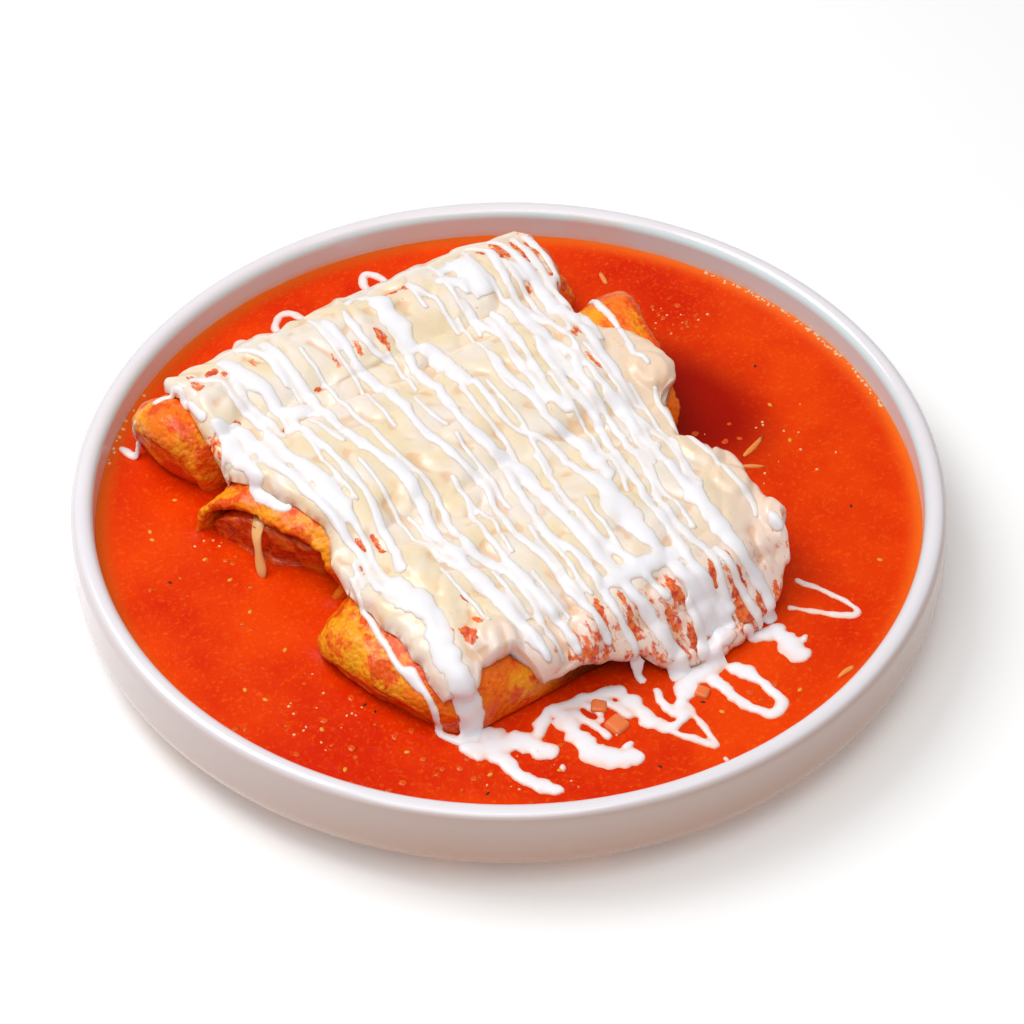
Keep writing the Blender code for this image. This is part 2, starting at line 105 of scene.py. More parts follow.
def add(tree, kind, inputs, **settings):
    """Adds a node with its settings. An input is a value, a socket, or a node for its first output."""
    made = tree.nodes.new(f"ShaderNode{kind}")
    for key, value in settings.items():
        setattr(made, key, value)
    for key, value in inputs.items():
        if isinstance(value, bpy.types.Node):
            value = next(socket for socket in value.outputs if socket.enabled)
        if isinstance(value, bpy.types.NodeSocket):
            tree.links.new(value, made.inputs[key])
        else:
            made.inputs[key].default_value = value
    return made


def start_finish(name, sockets):
    """A material with its shader's sockets set: the material, its tree, shader and coordinates."""
    made = bpy.data.materials.new(name)
    made.use_nodes = True
    tree = made.node_tree
    shader = tree.nodes["Principled BSDF"]
    for key, value in sockets.items():
        shader.inputs[key].default_value = value
    return made, tree, shader, add(tree, "TexCoord", {}).outputs["Object"]


def dress(piece, finish, slot, *nodes):
    """Gives a piece its material; the slot is not used. It rides on the part and stands for the named nodes.
    """
    piece.data.materials.clear()
    piece.data.materials.append(finish)
    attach(piece, "root")
    if nodes:
        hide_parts(*nodes)
    return piece


def plate_profile():
    """Inside floor and corner, lip, outside wall, foot ring and recess."""
    low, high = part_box("plate")
    corner = (INNER_RADIUS - INNER_CORNER_RADIUS, FLOOR_TOP + INNER_CORNER_RADIUS)
    lip = RIM_THICKNESS / 2
    turn_in = high.x - FOOT_OUTER_RADIUS
    return (
        [(0.0, FLOOR_TOP)]
        + arc(corner, (INNER_CORNER_RADIUS, INNER_CORNER_RADIUS), -90, 0, 8)
        + arc((RIM_OUTER_RADIUS - lip, high.z - lip), (lip, lip), 180, 0, 18)
        + arc((FOOT_OUTER_RADIUS, PLATE_WIDEST_HEIGHT), (turn_in, PLATE_WIDEST_HEIGHT), 0, -90, 22)
        + [(FOOT_INNER_RADIUS, 0.0), (FOOT_INNER_RADIUS - FOOT_RECESS, FOOT_RECESS), (0.0, FOOT_RECESS)]
    )


# White tin glaze on stoneware: a hard glassy coat with a soft orange-peel and a faint cool mottling. Inside,
# a painted cool tint offsets the sauce's red bounce light; outside, painted warm shade grows towards the foot
# and front
glaze, tree, shader, place = start_finish(
    "glazed_stoneware", {"IOR": 1.5, "Coat Weight": 0.35, "Coat Roughness": 0.06}
)
mottling = add(tree, "TexNoise", {"Vector": place, "Scale": 1000 / 22, "Detail": 5.0, "Roughness": 0.6})
white = add(tree, "MixRGB", {"Fac": mottling, "Color1": colour("e9e3e7"), "Color2": colour("efebf0")})
axes = add(tree, "SeparateXYZ", {"Vector": place})
ring = add(tree, "VectorMath", {0: place, 1: (1.0, 1.0, 0.0)}, operation="MULTIPLY")
from_axis = add(tree, "VectorMath", {0: ring}, operation="LENGTH")
inside = add(tree, "MapRange", {"Value": from_axis, "From Min": 129.5 * MM, "From Max": 128.6 * MM})
# Painted counter-light: a cool tint over the inside offsets the red light that the sauce throws onto the
# white wall
painted_bounce_offset = add(tree, "Math", {0: inside, 1: 0.95}, operation="MULTIPLY")
white = add(tree, "MixRGB", {"Fac": painted_bounce_offset, "Color1": white, "Color2": colour("d6f4f6")})
outside = add(tree, "MapRange", {"Value": from_axis, "From Min": 133.0 * MM, "From Max": 134.6 * MM})
low = add(tree, "MapRange", {"Value": axes.outputs["Z"], "From Min": 16 * MM, "From Max": 12 * MM})
outside = add(tree, "Math", {0: outside, 1: low}, operation="MAXIMUM", use_clamp=True)
# Painted shade: the outer wall turns warm brown towards the foot, most of all at the front, which faces away
# from the light
frontward = add(
    tree, "MapRange",
    {"Value": axes.outputs["Y"], "From Min": 60 * MM, "From Max": -100 * MM, "To Min": 0.3, "To Max": 1.0},
)
painted_outer_shade_share = add(tree, "Math", {0: outside, 1: frontward}, operation="MULTIPLY")
near_foot = add(tree, "MapRange", {"Value": axes.outputs["Z"], "From Min": 27 * MM, "From Max": 8 * MM})
painted_outer_shade_tone = add(tree, "MixRGB", {"Fac": near_foot, "Color1": colour("c8ada2"), "Color2": colour("b98a6e")})
white = add(tree, "MixRGB", {"Fac": painted_outer_shade_share, "Color1": white, "Color2": painted_outer_shade_tone})
# Painted reflection: an orange band of the sauce's reflection just above it on the inner wall, broken up by
# noise, with a stronger patch at the back right
low_wall = add(
    tree, "MapRange", {"Value": axes.outputs["Z"], "From Min": 24 * MM, "From Max": 20.5 * MM},
    interpolation_type="SMOOTHSTEP",
)
reflection_noise = add(tree, "TexNoise", {"Vector": place, "Scale": 1000 / 14, "Detail": 3.0})
reflection_breakup = add(
    tree, "MapRange", {"Value": reflection_noise, "From Min": 0.38, "From Max": 0.7, "To Min": 0.15, "To Max": 0.75}
)
painted_reflection = add(tree, "Math", {0: low_wall, 1: inside}, operation="MULTIPLY")
from_reflection_patch = add(tree, "VectorMath", {0: place, 1: Vector((92, 84, 27)) * MM}, operation="DISTANCE")
reflection_patch = add(tree, "MapRange", {"Value": from_reflection_patch, "From Min": 15 * MM, "From Max": 4 * MM, "To Max": 0.6})
reflection_patch = add(tree, "Math", {0: reflection_patch, 1: inside}, operation="MULTIPLY")
painted_reflection = add(tree, "Math", {0: painted_reflection, 1: reflection_patch}, operation="ADD")
painted_reflection = add(tree, "Math", {0: painted_reflection, 1: reflection_breakup}, operation="MULTIPLY", use_clamp=True)
sauce_toned = add(tree, "MixRGB", {"Fac": painted_reflection, "Color1": white, "Color2": colour("f5ae78")})
bare_foot = add(tree, "MapRange", {"Value": axes.outputs["Z"], "From Min": 0.9 * MM, "From Max": 0.3 * MM})
clay = add(tree, "MixRGB", {"Fac": bare_foot, "Color1": sauce_toned, "Color2": colour("c9bba8")})
tree.links.new(clay.outputs["Color"], shader.inputs["Base Color"])
gloss = add(tree, "MapRange", {"Value": bare_foot, "To Min": 0.16, "To Max": 0.8})
tree.links.new(gloss.outputs["Result"], shader.inputs["Roughness"])
peel = add(tree, "TexNoise", {"Vector": place, "Scale": 1000 / 6, "Detail": 2.0})
relief = add(tree, "Bump", {"Height": peel, "Strength": 0.04, "Distance": 0.3 * MM})
tree.links.new(relief.outputs["Normal"], shader.inputs["Normal"])

dress(turned("stoneware_plate", plate_profile(), PLATE_SIDES), glaze, "stoneware", "plate")

# The rolls: each a soft corn tortilla wound a little over one turn round its filling and soaked in sauce, cut
# off askew at both ends. The skin is blistered and uneven, and its ends are ragged. Friction and the sauce's
# weight hold the winding shut.
ROLL_BOTTOM = 6.6 * MM
# In mm and degrees. An end is its x at the back and at the front. By the undercut its foot stands out.
ROLLS = {
    "back": {
        "centre_y": 72.5, "half_width": 20.0, "top": 43.5, "squareness": 2.05, "phase": 0.4,
        "left_end": (-83.5, -77.5), "right_end": (68.0, 66.5), "tapers": (0.02, 0.06), "undercut": 4.5,
        "seam_deg": -112.0, "turn": 1, "recess": 0.3, "nose": 6.0, "shut": True, "knob": 0.0,
    },
    "middle": {
        "centre_y": 22.2, "half_width": 29.6, "top": 42.5, "squareness": 2.6, "phase": 2.1,
        "left_end": (-86.0, -66.0), "right_end": (77.5, 61.0), "tapers": (0.13, -0.02), "undercut": -2.5,
        "seam_deg": -75.0, "turn": -1, "recess": -0.8, "nose": 1.4, "shut": False, "knob": 4.5,
    },
    "front": {
        "centre_y": -40.8, "half_width": 32.0, "top": 40.5, "squareness": 2.6, "phase": 3.7,
        "left_end": (-81.5, -69.5), "right_end": (61.5, 54.0), "tapers": (0.17, 0.10), "undercut": 5.0,
        "seam_deg": 184.0, "turn": -1, "recess": 0.3, "nose": 6.5, "shut": True, "knob": 0.0,
    },
}
TAPER_LENGTH = 28 * MM
WAVINESS = 0.012
WAVES_PER_METRE = 15.0
TORTILLA_THICKNESS = 2.4 * MM
WRAP_PITCH = 3.3 * MM
TURNS_IN_FROM = 0.5
WRAP_TURNS = 27 / 22
WRAP_STEPS = 250
END_STATIONS = 28
END_LENGTH_SHARE = 0.16
MIDDLE_STATIONS = 16
NOSE_LENGTH = 9 * MM
NOSE_WALL = 1.5 * MM
NOSE_INNER_LOSS = 0.8
SHUT_RAGGEDNESS = 0.2
KNOB_PLACE = np.array((68, 35, 38)) * MM
KNOB_REACH = 13 * MM
BLISTER_SIZE = 2.4 * MM
BLISTER_HEIGHT = 0.5 * MM
CREASE_SIZE = 8 * MM
CREASE_HEIGHT = 1.1 * MM
BUMPS_AT_MIDDLE = 0.35
RIGHT_END_SMOOTHNESS = 0.45
RAGGED_SIZE = 7 * MM
RAGGED_DEPTH = 1.8 * MM


def smooth_step(value):
    """0 up to value 0, 1 from value 1, and smooth between."""
    held = np.clip(value, 0.0, 1.0)
    return held * held * (3 - 2 * held)


def roughness_at(points, size, octaves=3):
    """Fractal noise of about -1 to 1 with lumps of that size, at an array of points."""
    flat = np.asarray(points).reshape(-1, 3) / size
    values = [noise.fractal(Vector(p), 1.0, 2.0, octaves) for p in flat]
    return np.array(values).reshape(np.shape(points)[:-1])


def roll_size(roll, x):
    """Share of the roll's full section at x: it narrows towards its ends, and is a little uneven."""
    left, right = min(roll["left_end"]) * MM, max(roll["right_end"]) * MM
    left_loss = roll["tapers"][0] * (1 - smooth_step((x - left) / TAPER_LENGTH))
    right_loss = roll["tapers"][1] * (1 - smooth_step((right - x) / TAPER_LENGTH))
    wave = np.sin(math.tau * WAVES_PER_METRE * x + roll["phase"])
    return 1 - left_loss - right_loss - WAVINESS * (1 + wave)


def roll_points(roll, x, angle, inset):
    """Points of the roll's squarish oval section, inset from its outside. Angle 0 is at the back."""
    size = roll_size(roll, x)
    half_height = (roll["top"] * MM - ROLL_BOTTOM) / 2
    across = roll["half_width"] * MM * size - inset
    up = half_height * size - inset
    power = 2 / roll["squareness"]
    c, s = np.cos(angle), np.sin(angle)
    y = roll["centre_y"] * MM + across * np.sign(c) * np.abs(c) ** power
    z = ROLL_BOTTOM + half_height * size + up * np.sign(s) * np.abs(s) ** power
    return np.stack([x + 0 * angle, y, z], axis=-1)


def roll_x(roll, share, angle, recess):
    """The x at a share of the roll's length, from its left end to its right one."""
    back_share = (1 + np.cos(angle)) / 2
    left = (roll["left_end"][0] * back_share + roll["left_end"][1] * (1 - back_share)) * MM
    left = left + recess - roll["undercut"] * MM * np.sin(angle)
    right = (roll["right_end"][0] * back_share + roll["right_end"][1] * (1 - back_share)) * MM - recess
    return left + (right - left) * share


def settle(mesh_data, name):
    """Finishes a bmesh as a smooth object with its faces outwards."""
    bmesh.ops.recalc_face_normals(mesh_data, faces=mesh_data.faces)
    if mesh_data.calc_volume(signed=True) < 0:
        bmesh.ops.reverse_faces(mesh_data, faces=mesh_data.faces)
    mesh = bpy.data.meshes.new(name)
    mesh_data.to_mesh(mesh)
    mesh_data.free()
    piece = bpy.data.objects.new(name, mesh)
    bpy.context.scene.collection.objects.link(piece)
    mesh.shade_smooth()
    return piece


def closed_sheet(name, upper, lower):
    """A closed mesh from a grid of points above and one below, stitched together round their four sides."""
    rows, columns = upper.shape[:2]
    top = np.arange(rows * columns).reshape(rows, columns)
    bottom = rows * columns + np.arange(lower.shape[0] * lower.shape[1]).reshape(lower.shape[:2])
    mesh_data = bmesh.new()
    verts = [mesh_data.verts.new(p) for p in np.concatenate([upper.reshape(-1, 3), lower.reshape(-1, 3)])]
    for grid in (top, bottom):
        for near, far in zip(grid, grid[1:]):
            for a, b, c, d in zip(near, far, far[1:], near[1:]):
                mesh_data.faces.new((verts[a], verts[b], verts[c], verts[d]))
    edges = [(grid[0], grid[-1], grid[:, 0], grid[:, -1]) for grid in (top, bottom)]
    for first, second in zip(*edges):
        i = j = 0
        ends = (len(first) - 1, len(second) - 1)
        while i < ends[0] or j < ends[1]:
            if i < ends[0] and (j == ends[1] or (i + 1) * ends[1] <= (j + 1) * ends[0]):
                mesh_data.faces.new((verts[first[i]], verts[first[i + 1]], verts[second[j]]))
                i += 1
            else:
                mesh_data.faces.new((verts[first[i]], verts[second[j + 1]], verts[second[j]]))
                j += 1
    return settle(mesh_data, name)


def make_tortilla(name, roll):
    """A wound tortilla with a blistered skin and ragged ends."""
    near_end = np.linspace(0, END_LENGTH_SHARE, END_STATIONS)
    middle = np.linspace(END_LENGTH_SHARE, 1 - END_LENGTH_SHARE, MIDDLE_STATIONS)
    shares = np.concatenate([near_end, middle[1:-1], 1 - near_end[::-1]])[:, None]
    turns = np.linspace(0, WRAP_TURNS, WRAP_STEPS)[None, :]
    angles = math.radians(roll["seam_deg"]) + roll["turn"] * math.tau * turns
    inset = WRAP_PITCH * smooth_step((turns - TURNS_IN_FROM) / (1 - TURNS_IN_FROM))
    x = roll_x(roll, shares, angles, 0.0)
    plain = roll_points(roll, x, angles, inset)
    end_share = np.clip(1 - np.minimum(shares, 1 - shares) / END_LENGTH_SHARE, 0, 1)
    ragged = roughness_at(plain * [0, 1, 1] + [roll["phase"], 0, 0], RAGGED_SIZE) * RAGGED_DEPTH
    left_raggedness = SHUT_RAGGEDNESS if roll["shut"] else 1.0
    x = x + ragged * end_share**2 * np.where(shares < 0.5, left_raggedness, -1)
    bumps = roughness_at(plain, BLISTER_SIZE) * BLISTER_HEIGHT
    bumps = bumps + roughness_at(plain, CREASE_SIZE, 2) * CREASE_HEIGHT
    bumps = bumps * (BUMPS_AT_MIDDLE + (1 - BUMPS_AT_MIDDLE) * end_share)
    bumps = bumps * np.where(shares < 0.5, 1, RIGHT_END_SMOOTHNESS)
    bumps = bumps + roll["knob"] * MM * np.exp(-((plain - KNOB_PLACE) ** 2).sum(axis=-1) / KNOB_REACH**2)
    length = roll_x(roll, 1.0, angles, 0.0) - roll_x(roll, 0.0, angles, 0.0)
    from_end = np.minimum(shares, 1 - shares) * length
    nose = roll["nose"] * MM * (1 - np.sqrt(1 - (1 - np.clip(from_end / NOSE_LENGTH, 0, 1)) ** 2))
    nose = nose * (1 - NOSE_INNER_LOSS * inset / WRAP_PITCH)
    outer = roll_points(roll, x, angles, inset + nose - bumps)
    inner = roll_points(roll, x, angles, inset + np.maximum(TORTILLA_THICKNESS, nose + NOSE_WALL))
    return closed_sheet(name, outer, inner)


# Corn tortilla soaked in sauce: wet and pimpled, orange where the maize shows, red where sauce lies on it,
# with a painted dark brown shadow in the slit under the cheese's front lip
tortilla_finish, tree, shader, place = start_finish(
    "sauce_soaked_tortilla",
    {
        "IOR": 1.4, "Specular IOR Level": 0.25, "Coat Weight": 0.3, "Coat Roughness": 0.06, "Roughness": 0.33,
        "Subsurface Weight": 0.25, "Subsurface Radius": (1.0, 0.35, 0.08), "Subsurface Scale": 0.003,
    },
)
patches = add(tree, "TexNoise", {"Vector": place, "Scale": 1000 / 20, "Detail": 3.0, "Roughness": 0.55})
soaked = add(
    tree, "MapRange", {"Value": patches, "From Min": 0.42, "From Max": 0.6}, interpolation_type="SMOOTHSTEP"
)
maize = add(tree, "MixRGB", {"Fac": soaked, "Color1": colour("ffa31a"), "Color2": colour("fc780e")})
dabs = add(tree, "TexNoise", {"Vector": place, "Scale": 1000 / 8, "Detail": 5.0, "Roughness": 0.65})
dab = add(
    tree, "MapRange", {"Value": dabs, "From Min": 0.46, "From Max": 0.58, "To Max": 0.9},
    interpolation_type="SMOOTHSTEP",
)
skin = add(tree, "MixRGB", {"Fac": dab, "Color1": maize, "Color2": colour("ea4806")})
axes = add(tree, "SeparateXYZ", {"Vector": place})
in_sauce = add(
    tree, "MapRange", {"Value": axes.outputs["Z"], "From Min": 30 * MM, "From Max": 21 * MM, "To Max": 0.7}
)
skin = add(tree, "MixRGB", {"Fac": in_sauce, "Color1": skin, "Color2": colour("dc4204")})
# Painted shadow: a dark brown patch on the front roll, in the slit under the cheese's front lip
from_slit_shadow = add(tree, "VectorMath", {0: place, 1: Vector((17, 73.5, -24)) * MM}, operation="ADD")
from_slit_shadow = add(tree, "VectorMath", {0: from_slit_shadow, 1: (1 / 13, 1 / 4, 1 / 5)}, operation="MULTIPLY")
from_slit_shadow = add(tree, "VectorMath", {0: from_slit_shadow}, operation="LENGTH")
painted_slit_shadow = add(tree, "MapRange", {"Value": from_slit_shadow, "From Min": 1.5 * MM, "From Max": 0.7 * MM, "To Max": 0.9})
skin = add(tree, "MixRGB", {"Fac": painted_slit_shadow, "Color1": skin, "Color2": colour("4a1a06")})
tree.links.new(skin.outputs["Color"], shader.inputs["Base Color"])
pimples = add(tree, "TexVoronoi", {"Vector": place, "Scale": 1000 / 1.7}, feature="F1")
grit = add(tree, "TexNoise", {"Vector": place, "Scale": 1000 / 0.9, "Detail": 2.0})
pimply = add(tree, "Math", {0: grit, 1: 0.5, 2: pimples}, operation="MULTIPLY_ADD")
relief = add(tree, "Bump", {"Height": pimply, "Strength": 0.65, "Distance": 0.8 * MM}, invert=True)
tree.links.new(relief.outputs["Normal"], shader.inputs["Normal"])

tortillas = {
    side: dress(
        make_tortilla(f"wound_tortilla_{side}", roll), tortilla_finish, "tortilla", f"tortilla_{side}",
    )
    for side, roll in ROLLS.items()
}

# The filling: shredded meat stewed in red sauce. It fills each roll. The middle roll shows it a little way in
# at its open left end. On the other two, sauce-soaked tortilla is tucked over it there, in a low dome.
FILLING_GAP = 0.7 * MM
FILLING_STATIONS = 60
FILLING_SIDES = 72
CAP_RINGS = 12
FIBRE_SIZE = 4.5 * MM
FIBRE_HEIGHT = 1.6 * MM
FIBRE_SQUEEZE = (0.6, 1, 1)
LUMP_LIMIT = 2.5 * MM
CAP_MIDDLE = 0.06
DOME_HEIGHT = 2.2 * MM
# Where the filling has sunk in at the open end: side (-1 front, 1 back), where it starts, and its depth
HOLLOWS = ((-1, 0.5, 9 * MM), (1, 0.65, 5 * MM))
DOME_PIMPLES = 0.5


def make_filling(name, roll):
    """A core of shredded meat with lumpy ends."""
    inset = WRAP_PITCH + TORTILLA_THICKNESS + FILLING_GAP
    angles = np.linspace(0, math.tau, FILLING_SIDES, endpoint=False)[None, :]
    shares = np.linspace(0, 1, FILLING_STATIONS)[:, None]
    body = roll_points(roll, roll_x(roll, shares, angles, roll["recess"] * MM), angles, inset)
    dome = DOME_HEIGHT if roll["shut"] else 0.0
    if not roll["shut"]:
        near_end = smooth_step(1 - shares / END_LENGTH_SHARE)
        for side, start, depth in HOLLOWS:
            body[..., 0] += depth * near_end * smooth_step((side * np.cos(angles) - start) / (1 - start))
    rings = []
    for end, order in ((body[0], 1), (body[-1], -1)):
        middle = end.mean(axis=0)
        sizes = np.linspace(CAP_MIDDLE, 1, CAP_RINGS, endpoint=False)[::order]
        bulge = [Vector((-order * dome * (1 - size**2), 0, 0)) for size in sizes]
        rings.append([middle + (end - middle) * size + out for size, out in zip(sizes, bulge)])
    grid = np.concatenate([rings[0], body, rings[1]])
    lumps = roughness_at(grid * FIBRE_SQUEEZE, FIBRE_SIZE) * FIBRE_HEIGHT
    lumps = lumps * (DOME_PIMPLES if roll["shut"] else 1.0)
    outside = np.zeros(len(grid))
    outside[: CAP_RINGS + 1] = -1
    outside[-CAP_RINGS - 1 :] = 1
    grid[..., 0] += np.minimum(lumps * outside[:, None], LUMP_LIMIT) * np.abs(outside)[:, None]
    mesh_data = bmesh.new()
    loops = [[mesh_data.verts.new(p) for p in row] for row in grid]
    for near, far in zip(loops, loops[1:]):
        for a, b, c, d in zip(near, far, far[1:] + far[:1], near[1:] + near[:1]):
            mesh_data.faces.new((a, b, c, d))
    mesh_data.faces.new(loops[0])
    mesh_data.faces.new(loops[-1])
    return settle(mesh_data, name)


# Stewed shredded meat: dark red-brown fibres, wet with sauce and fat, so that it glints
filling_finish, tree, shader, place = start_finish(
    "stewed_shredded_meat",
    {
        "IOR": 1.42, "Specular IOR Level": 0.3, "Coat Weight": 0.6, "Coat Roughness": 0.06, "Roughness": 0.3,
        "Subsurface Weight": 0.15, "Subsurface Radius": (1.0, 0.25, 0.1), "Subsurface Scale": 0.002,
    },
)
fibres = add(tree, "Mapping", {"Vector": place, "Scale": (1.0, 0.35, 1.0)})
strands = add(tree, "TexNoise", {"Vector": fibres, "Scale": 1000 / 1.6, "Detail": 5.0, "Roughness": 0.6})
fibre = add(tree, "MapRange", {"Value": strands, "From Min": 0.4, "From Max": 0.62})
meat = add(tree, "MixRGB", {"Fac": fibre, "Color1": colour("c42e04"), "Color2": colour("f0600e")})
coats = add(tree, "TexNoise", {"Vector": place, "Scale": 1000 / 9, "Detail": 4.0, "Roughness": 0.6})
coat = add(
    tree, "MapRange", {"Value": coats, "From Min": 0.48, "From Max": 0.66, "To Max": 0.7},
    interpolation_type="SMOOTHSTEP",
)
meat = add(tree, "MixRGB", {"Fac": coat, "Color1": meat, "Color2": colour("f67f14")})
tree.links.new(meat.outputs["Color"], shader.inputs["Base Color"])
relief = add(tree, "Bump", {"Height": strands, "Strength": 0.8, "Distance": 1.2 * MM})
tree.links.new(relief.outputs["Normal"], shader.inputs["Normal"])

for side, roll in ROLLS.items():
    core = make_filling(f"shredded_filling_{side}", roll)
    dress(core, tortilla_finish if roll["shut"] else filling_finish, "filling", f"filling_{side}")

# The sauce: tomato and chilli, poured round the rolls until it wets half the plate's wall. It climbs a little
# at the wall and at the rolls, and its surface is uneven with pulp, most of all at the front left.
SAUCE_SIDES = 420
SAUCE_RINGS = 150
SAUCE_GAP = 0.05 * MM
WALL_RISE = 0.9 * MM
WALL_RISE_WIDTH = 2.2 * MM
ROLL_RISE = 0.8 * MM
ROLL_RISE_WIDTH = 1.6 * MM
PULP_SIZE = 3.4 * MM
PULP_HEIGHT = 0.5 * MM
PULP_LEAST = 0.25
CALM_AT_WALL = 4 * MM
RIPPLE_SIZE = 16 * MM
RIPPLE_HEIGHT = 0.22 * MM
PULPY_PLACE = Vector((-55, -95, 20)) * MM
PULPY_REACH = 62 * MM


def make_sauce(name):
    """The sauce, with its pulpy surface and the rise at what it wets."""
    corner = (INNER_RADIUS - INNER_CORNER_RADIUS, FLOOR_TOP + INNER_CORNER_RADIUS)
    radius = INNER_CORNER_RADIUS - SAUCE_GAP
    wall = INNER_RADIUS - SAUCE_GAP
    surface = [(r, SAUCE_LEVEL) for r in np.linspace(wall, 0, SAUCE_RINGS)]
    profile = [(0.0, FLOOR_TOP + SAUCE_GAP)] + arc(corner, (radius, radius), -90, 0, 6) + surface
    piece = turned(name, profile, SAUCE_SIDES)
    shapes = [BVHTree.FromObject(o, bpy.context.evaluated_depsgraph_get()) for o in tortillas.values()]
    for vert in piece.data.vertices:
        if vert.co.z < SAUCE_LEVEL - TINY:
            continue
        out = math.hypot(vert.co.x, vert.co.y)
        rise = WALL_RISE * math.exp(-(wall - out) / WALL_RISE_WIDTH)
        gap = min(shape.find_nearest(vert.co)[3] for shape in shapes)
        rise += ROLL_RISE * math.exp(-gap / ROLL_RISE_WIDTH)
        off = (vert.co - PULPY_PLACE).length / PULPY_REACH
        pulpiness = PULP_LEAST + (1 - PULP_LEAST) * math.exp(-(off**2))
        lump = max(0.0, noise.fractal(vert.co / PULP_SIZE, 1.0, 2.0, 3)) * PULP_HEIGHT * pulpiness
        ripple = noise.noise(vert.co / RIPPLE_SIZE) * RIPPLE_HEIGHT
        vert.co.z += rise + (lump + ripple) * min(1.0, (wall - out) / CALM_AT_WALL)
    return piece


# Tomato and chilli sauce: opaque red with a wet shine, paler and more orange where it is thin at the wall,
# and painted dark red as shadow to the right of the rolls
sauce_finish, tree, shader, place = start_finish(
    "tomato_chilli_sauce", {"IOR": 1.38, "Specular IOR Level": 0.16, "Roughness": 0.24}
)
clouds = add(tree, "TexNoise", {"Vector": place, "Scale": 1000 / 34, "Detail": 4.0, "Roughness": 0.55})
cloud = add(tree, "MapRange", {"Value": clouds, "From Min": 0.35, "From Max": 0.65})
body = add(tree, "MixRGB", {"Fac": cloud, "Color1": colour("d42400"), "Color2": colour("ea4001")})
grains = add(tree, "TexNoise", {"Vector": place, "Scale": 1000 / 1.3, "Detail": 3.0, "Roughness": 0.6})
grain = add(
    tree, "MapRange", {"Value": grains, "From Min": 0.5, "From Max": 0.8, "To Max": 0.5},
    interpolation_type="SMOOTHSTEP",
)
pulp = add(tree, "MixRGB", {"Fac": grain, "Color1": body, "Color2": colour("f56a12")})
# Painted shadow: the sauce turns deep red in an oval to the right of the rolls, where the food's shadow falls
beside = add(tree, "VectorMath", {0: place, 1: Vector((-74, -4, -20)) * MM}, operation="ADD")
beside = add(tree, "VectorMath", {0: beside, 1: (1 / 27, 1 / 44, 0.0)}, operation="MULTIPLY")
beside = add(tree, "VectorMath", {0: beside}, operation="LENGTH")
darkening = add(
    tree, "MapRange", {"Value": beside, "From Min": 1.0 * MM, "From Max": 0.35 * MM, "To Max": 0.92},
    interpolation_type="SMOOTHSTEP",
)
pulp = add(tree, "MixRGB", {"Fac": darkening, "Color1": pulp, "Color2": colour("9c0800")})
ring = add(tree, "VectorMath", {0: place, 1: (1.0, 1.0, 0.0)}, operation="MULTIPLY")
from_axis = add(tree, "VectorMath", {0: ring}, operation="LENGTH")
thin = add(tree, "MapRange", {"Value": from_axis, "From Min": 121 * MM, "From Max": 128 * MM})
thin = add(tree, "Math", {0: thin, 1: 2.0}, operation="POWER")
edge = add(tree, "MixRGB", {"Fac": thin, "Color1": pulp, "Color2": colour("f4721c")})
tree.links.new(edge.outputs["Color"], shader.inputs["Base Color"])
relief = add(tree, "Bump", {"Height": grains, "Strength": 0.4, "Distance": 0.5 * MM})
tree.links.new(relief.outputs["Normal"], shader.inputs["Normal"])

sauce = dress(make_sauce("red_sauce"), sauce_finish, "sauce", "sauce")

# The cheese: grated, strewn over the rolls and melted into one sheet that still shows its half-melted shreds.
# It hangs in soft lobes at the right and at the front, and sauce seeps through it in places.
CHEESE_GAP = 0.8 * MM
UNDERSIDE_DROP = 0.2 * MM
CHEESE_THICKNESS = 3.4 * MM
MELTED_LOSS = 0.9 * MM
CHEESE_EDGE_ROUND = 2.6 * MM
CHEESE_SOFTNESS = 16.0
# Cheese lies higher than the rolls alone would hold it between them: (y, height, half width), in mm
VALLEYS = [(53.0, 37.5, 10.0), (-8.0, 36.5, 11.0)]
VALLEY_CROWN = 10.0
APRON_TOP = (-69.0 * MM, 34.5 * MM)
APRON_FOOT_Y = -83.5 * MM
APRON_FROM_X = -42.0 * MM
APRON_BLEND = 6.0 * MM
# The sheet's outline in plan, in mm: x and y along the back and front, y and x along the left and right
BACK_EDGE = [(-70, 87.0), (-30, 89.0), (20, 88.5), (64, 87.0)]
FRONT_EDGE = [
    (-68, -66.0), (-58, -69.0), (-52, -64.0), (-43, -65.0), (-36, -74.5), (-8, -77.0),
    (4, -87.0), (18, -88.5), (30, -87.0), (41, -82.0), (50, -74.5), (56, -65.0),
]
LEFT_EDGE = [(87, -71.0), (50, -73.0), (34, -73.0), (18, -68.0), (0, -63.0), (-28, -69.0), (-66, -68.0)]
RIGHT_EDGE = [
    (87, 64.5), (70, 62.0), (60, 62.0), (48, 56.0), (34, 54.0), (22, 56.0), (14, 62.5), (5, 66.0), (-8, 65.0),
    (-16, 54.0), (-30, 50.5), (-42, 53.0), (-52, 59.0), (-66, 57.0),
]
EDGE_WOBBLE = 1.8 * MM
EDGE_WOBBLE_SIZE = 9 * MM
CHEESE_COLUMNS = 225
CHEESE_ROWS = 330
UNDERSIDE_STEP = 8
ROW_GATHERING = 0.55
SLOPE_STEP = 0.6 * MM
BROAD_SIZE = 18 * MM
BROAD_HEIGHT = 0.7 * MM
SHREDS = 620
SHRED_LENGTH = (5 * MM, 18 * MM)
SHRED_WIDTH = (2.4 * MM, 5.2 * MM)
SHRED_HEIGHT = (0.7 * MM, 2.1 * MM)
MELTED_BY = 6
EDGE_CALM = 0.65
CALM_FROM_X = (38.0, 12.0)
CREASE_REACH = 40
CREASE_DEPTH = 0.32 * MM
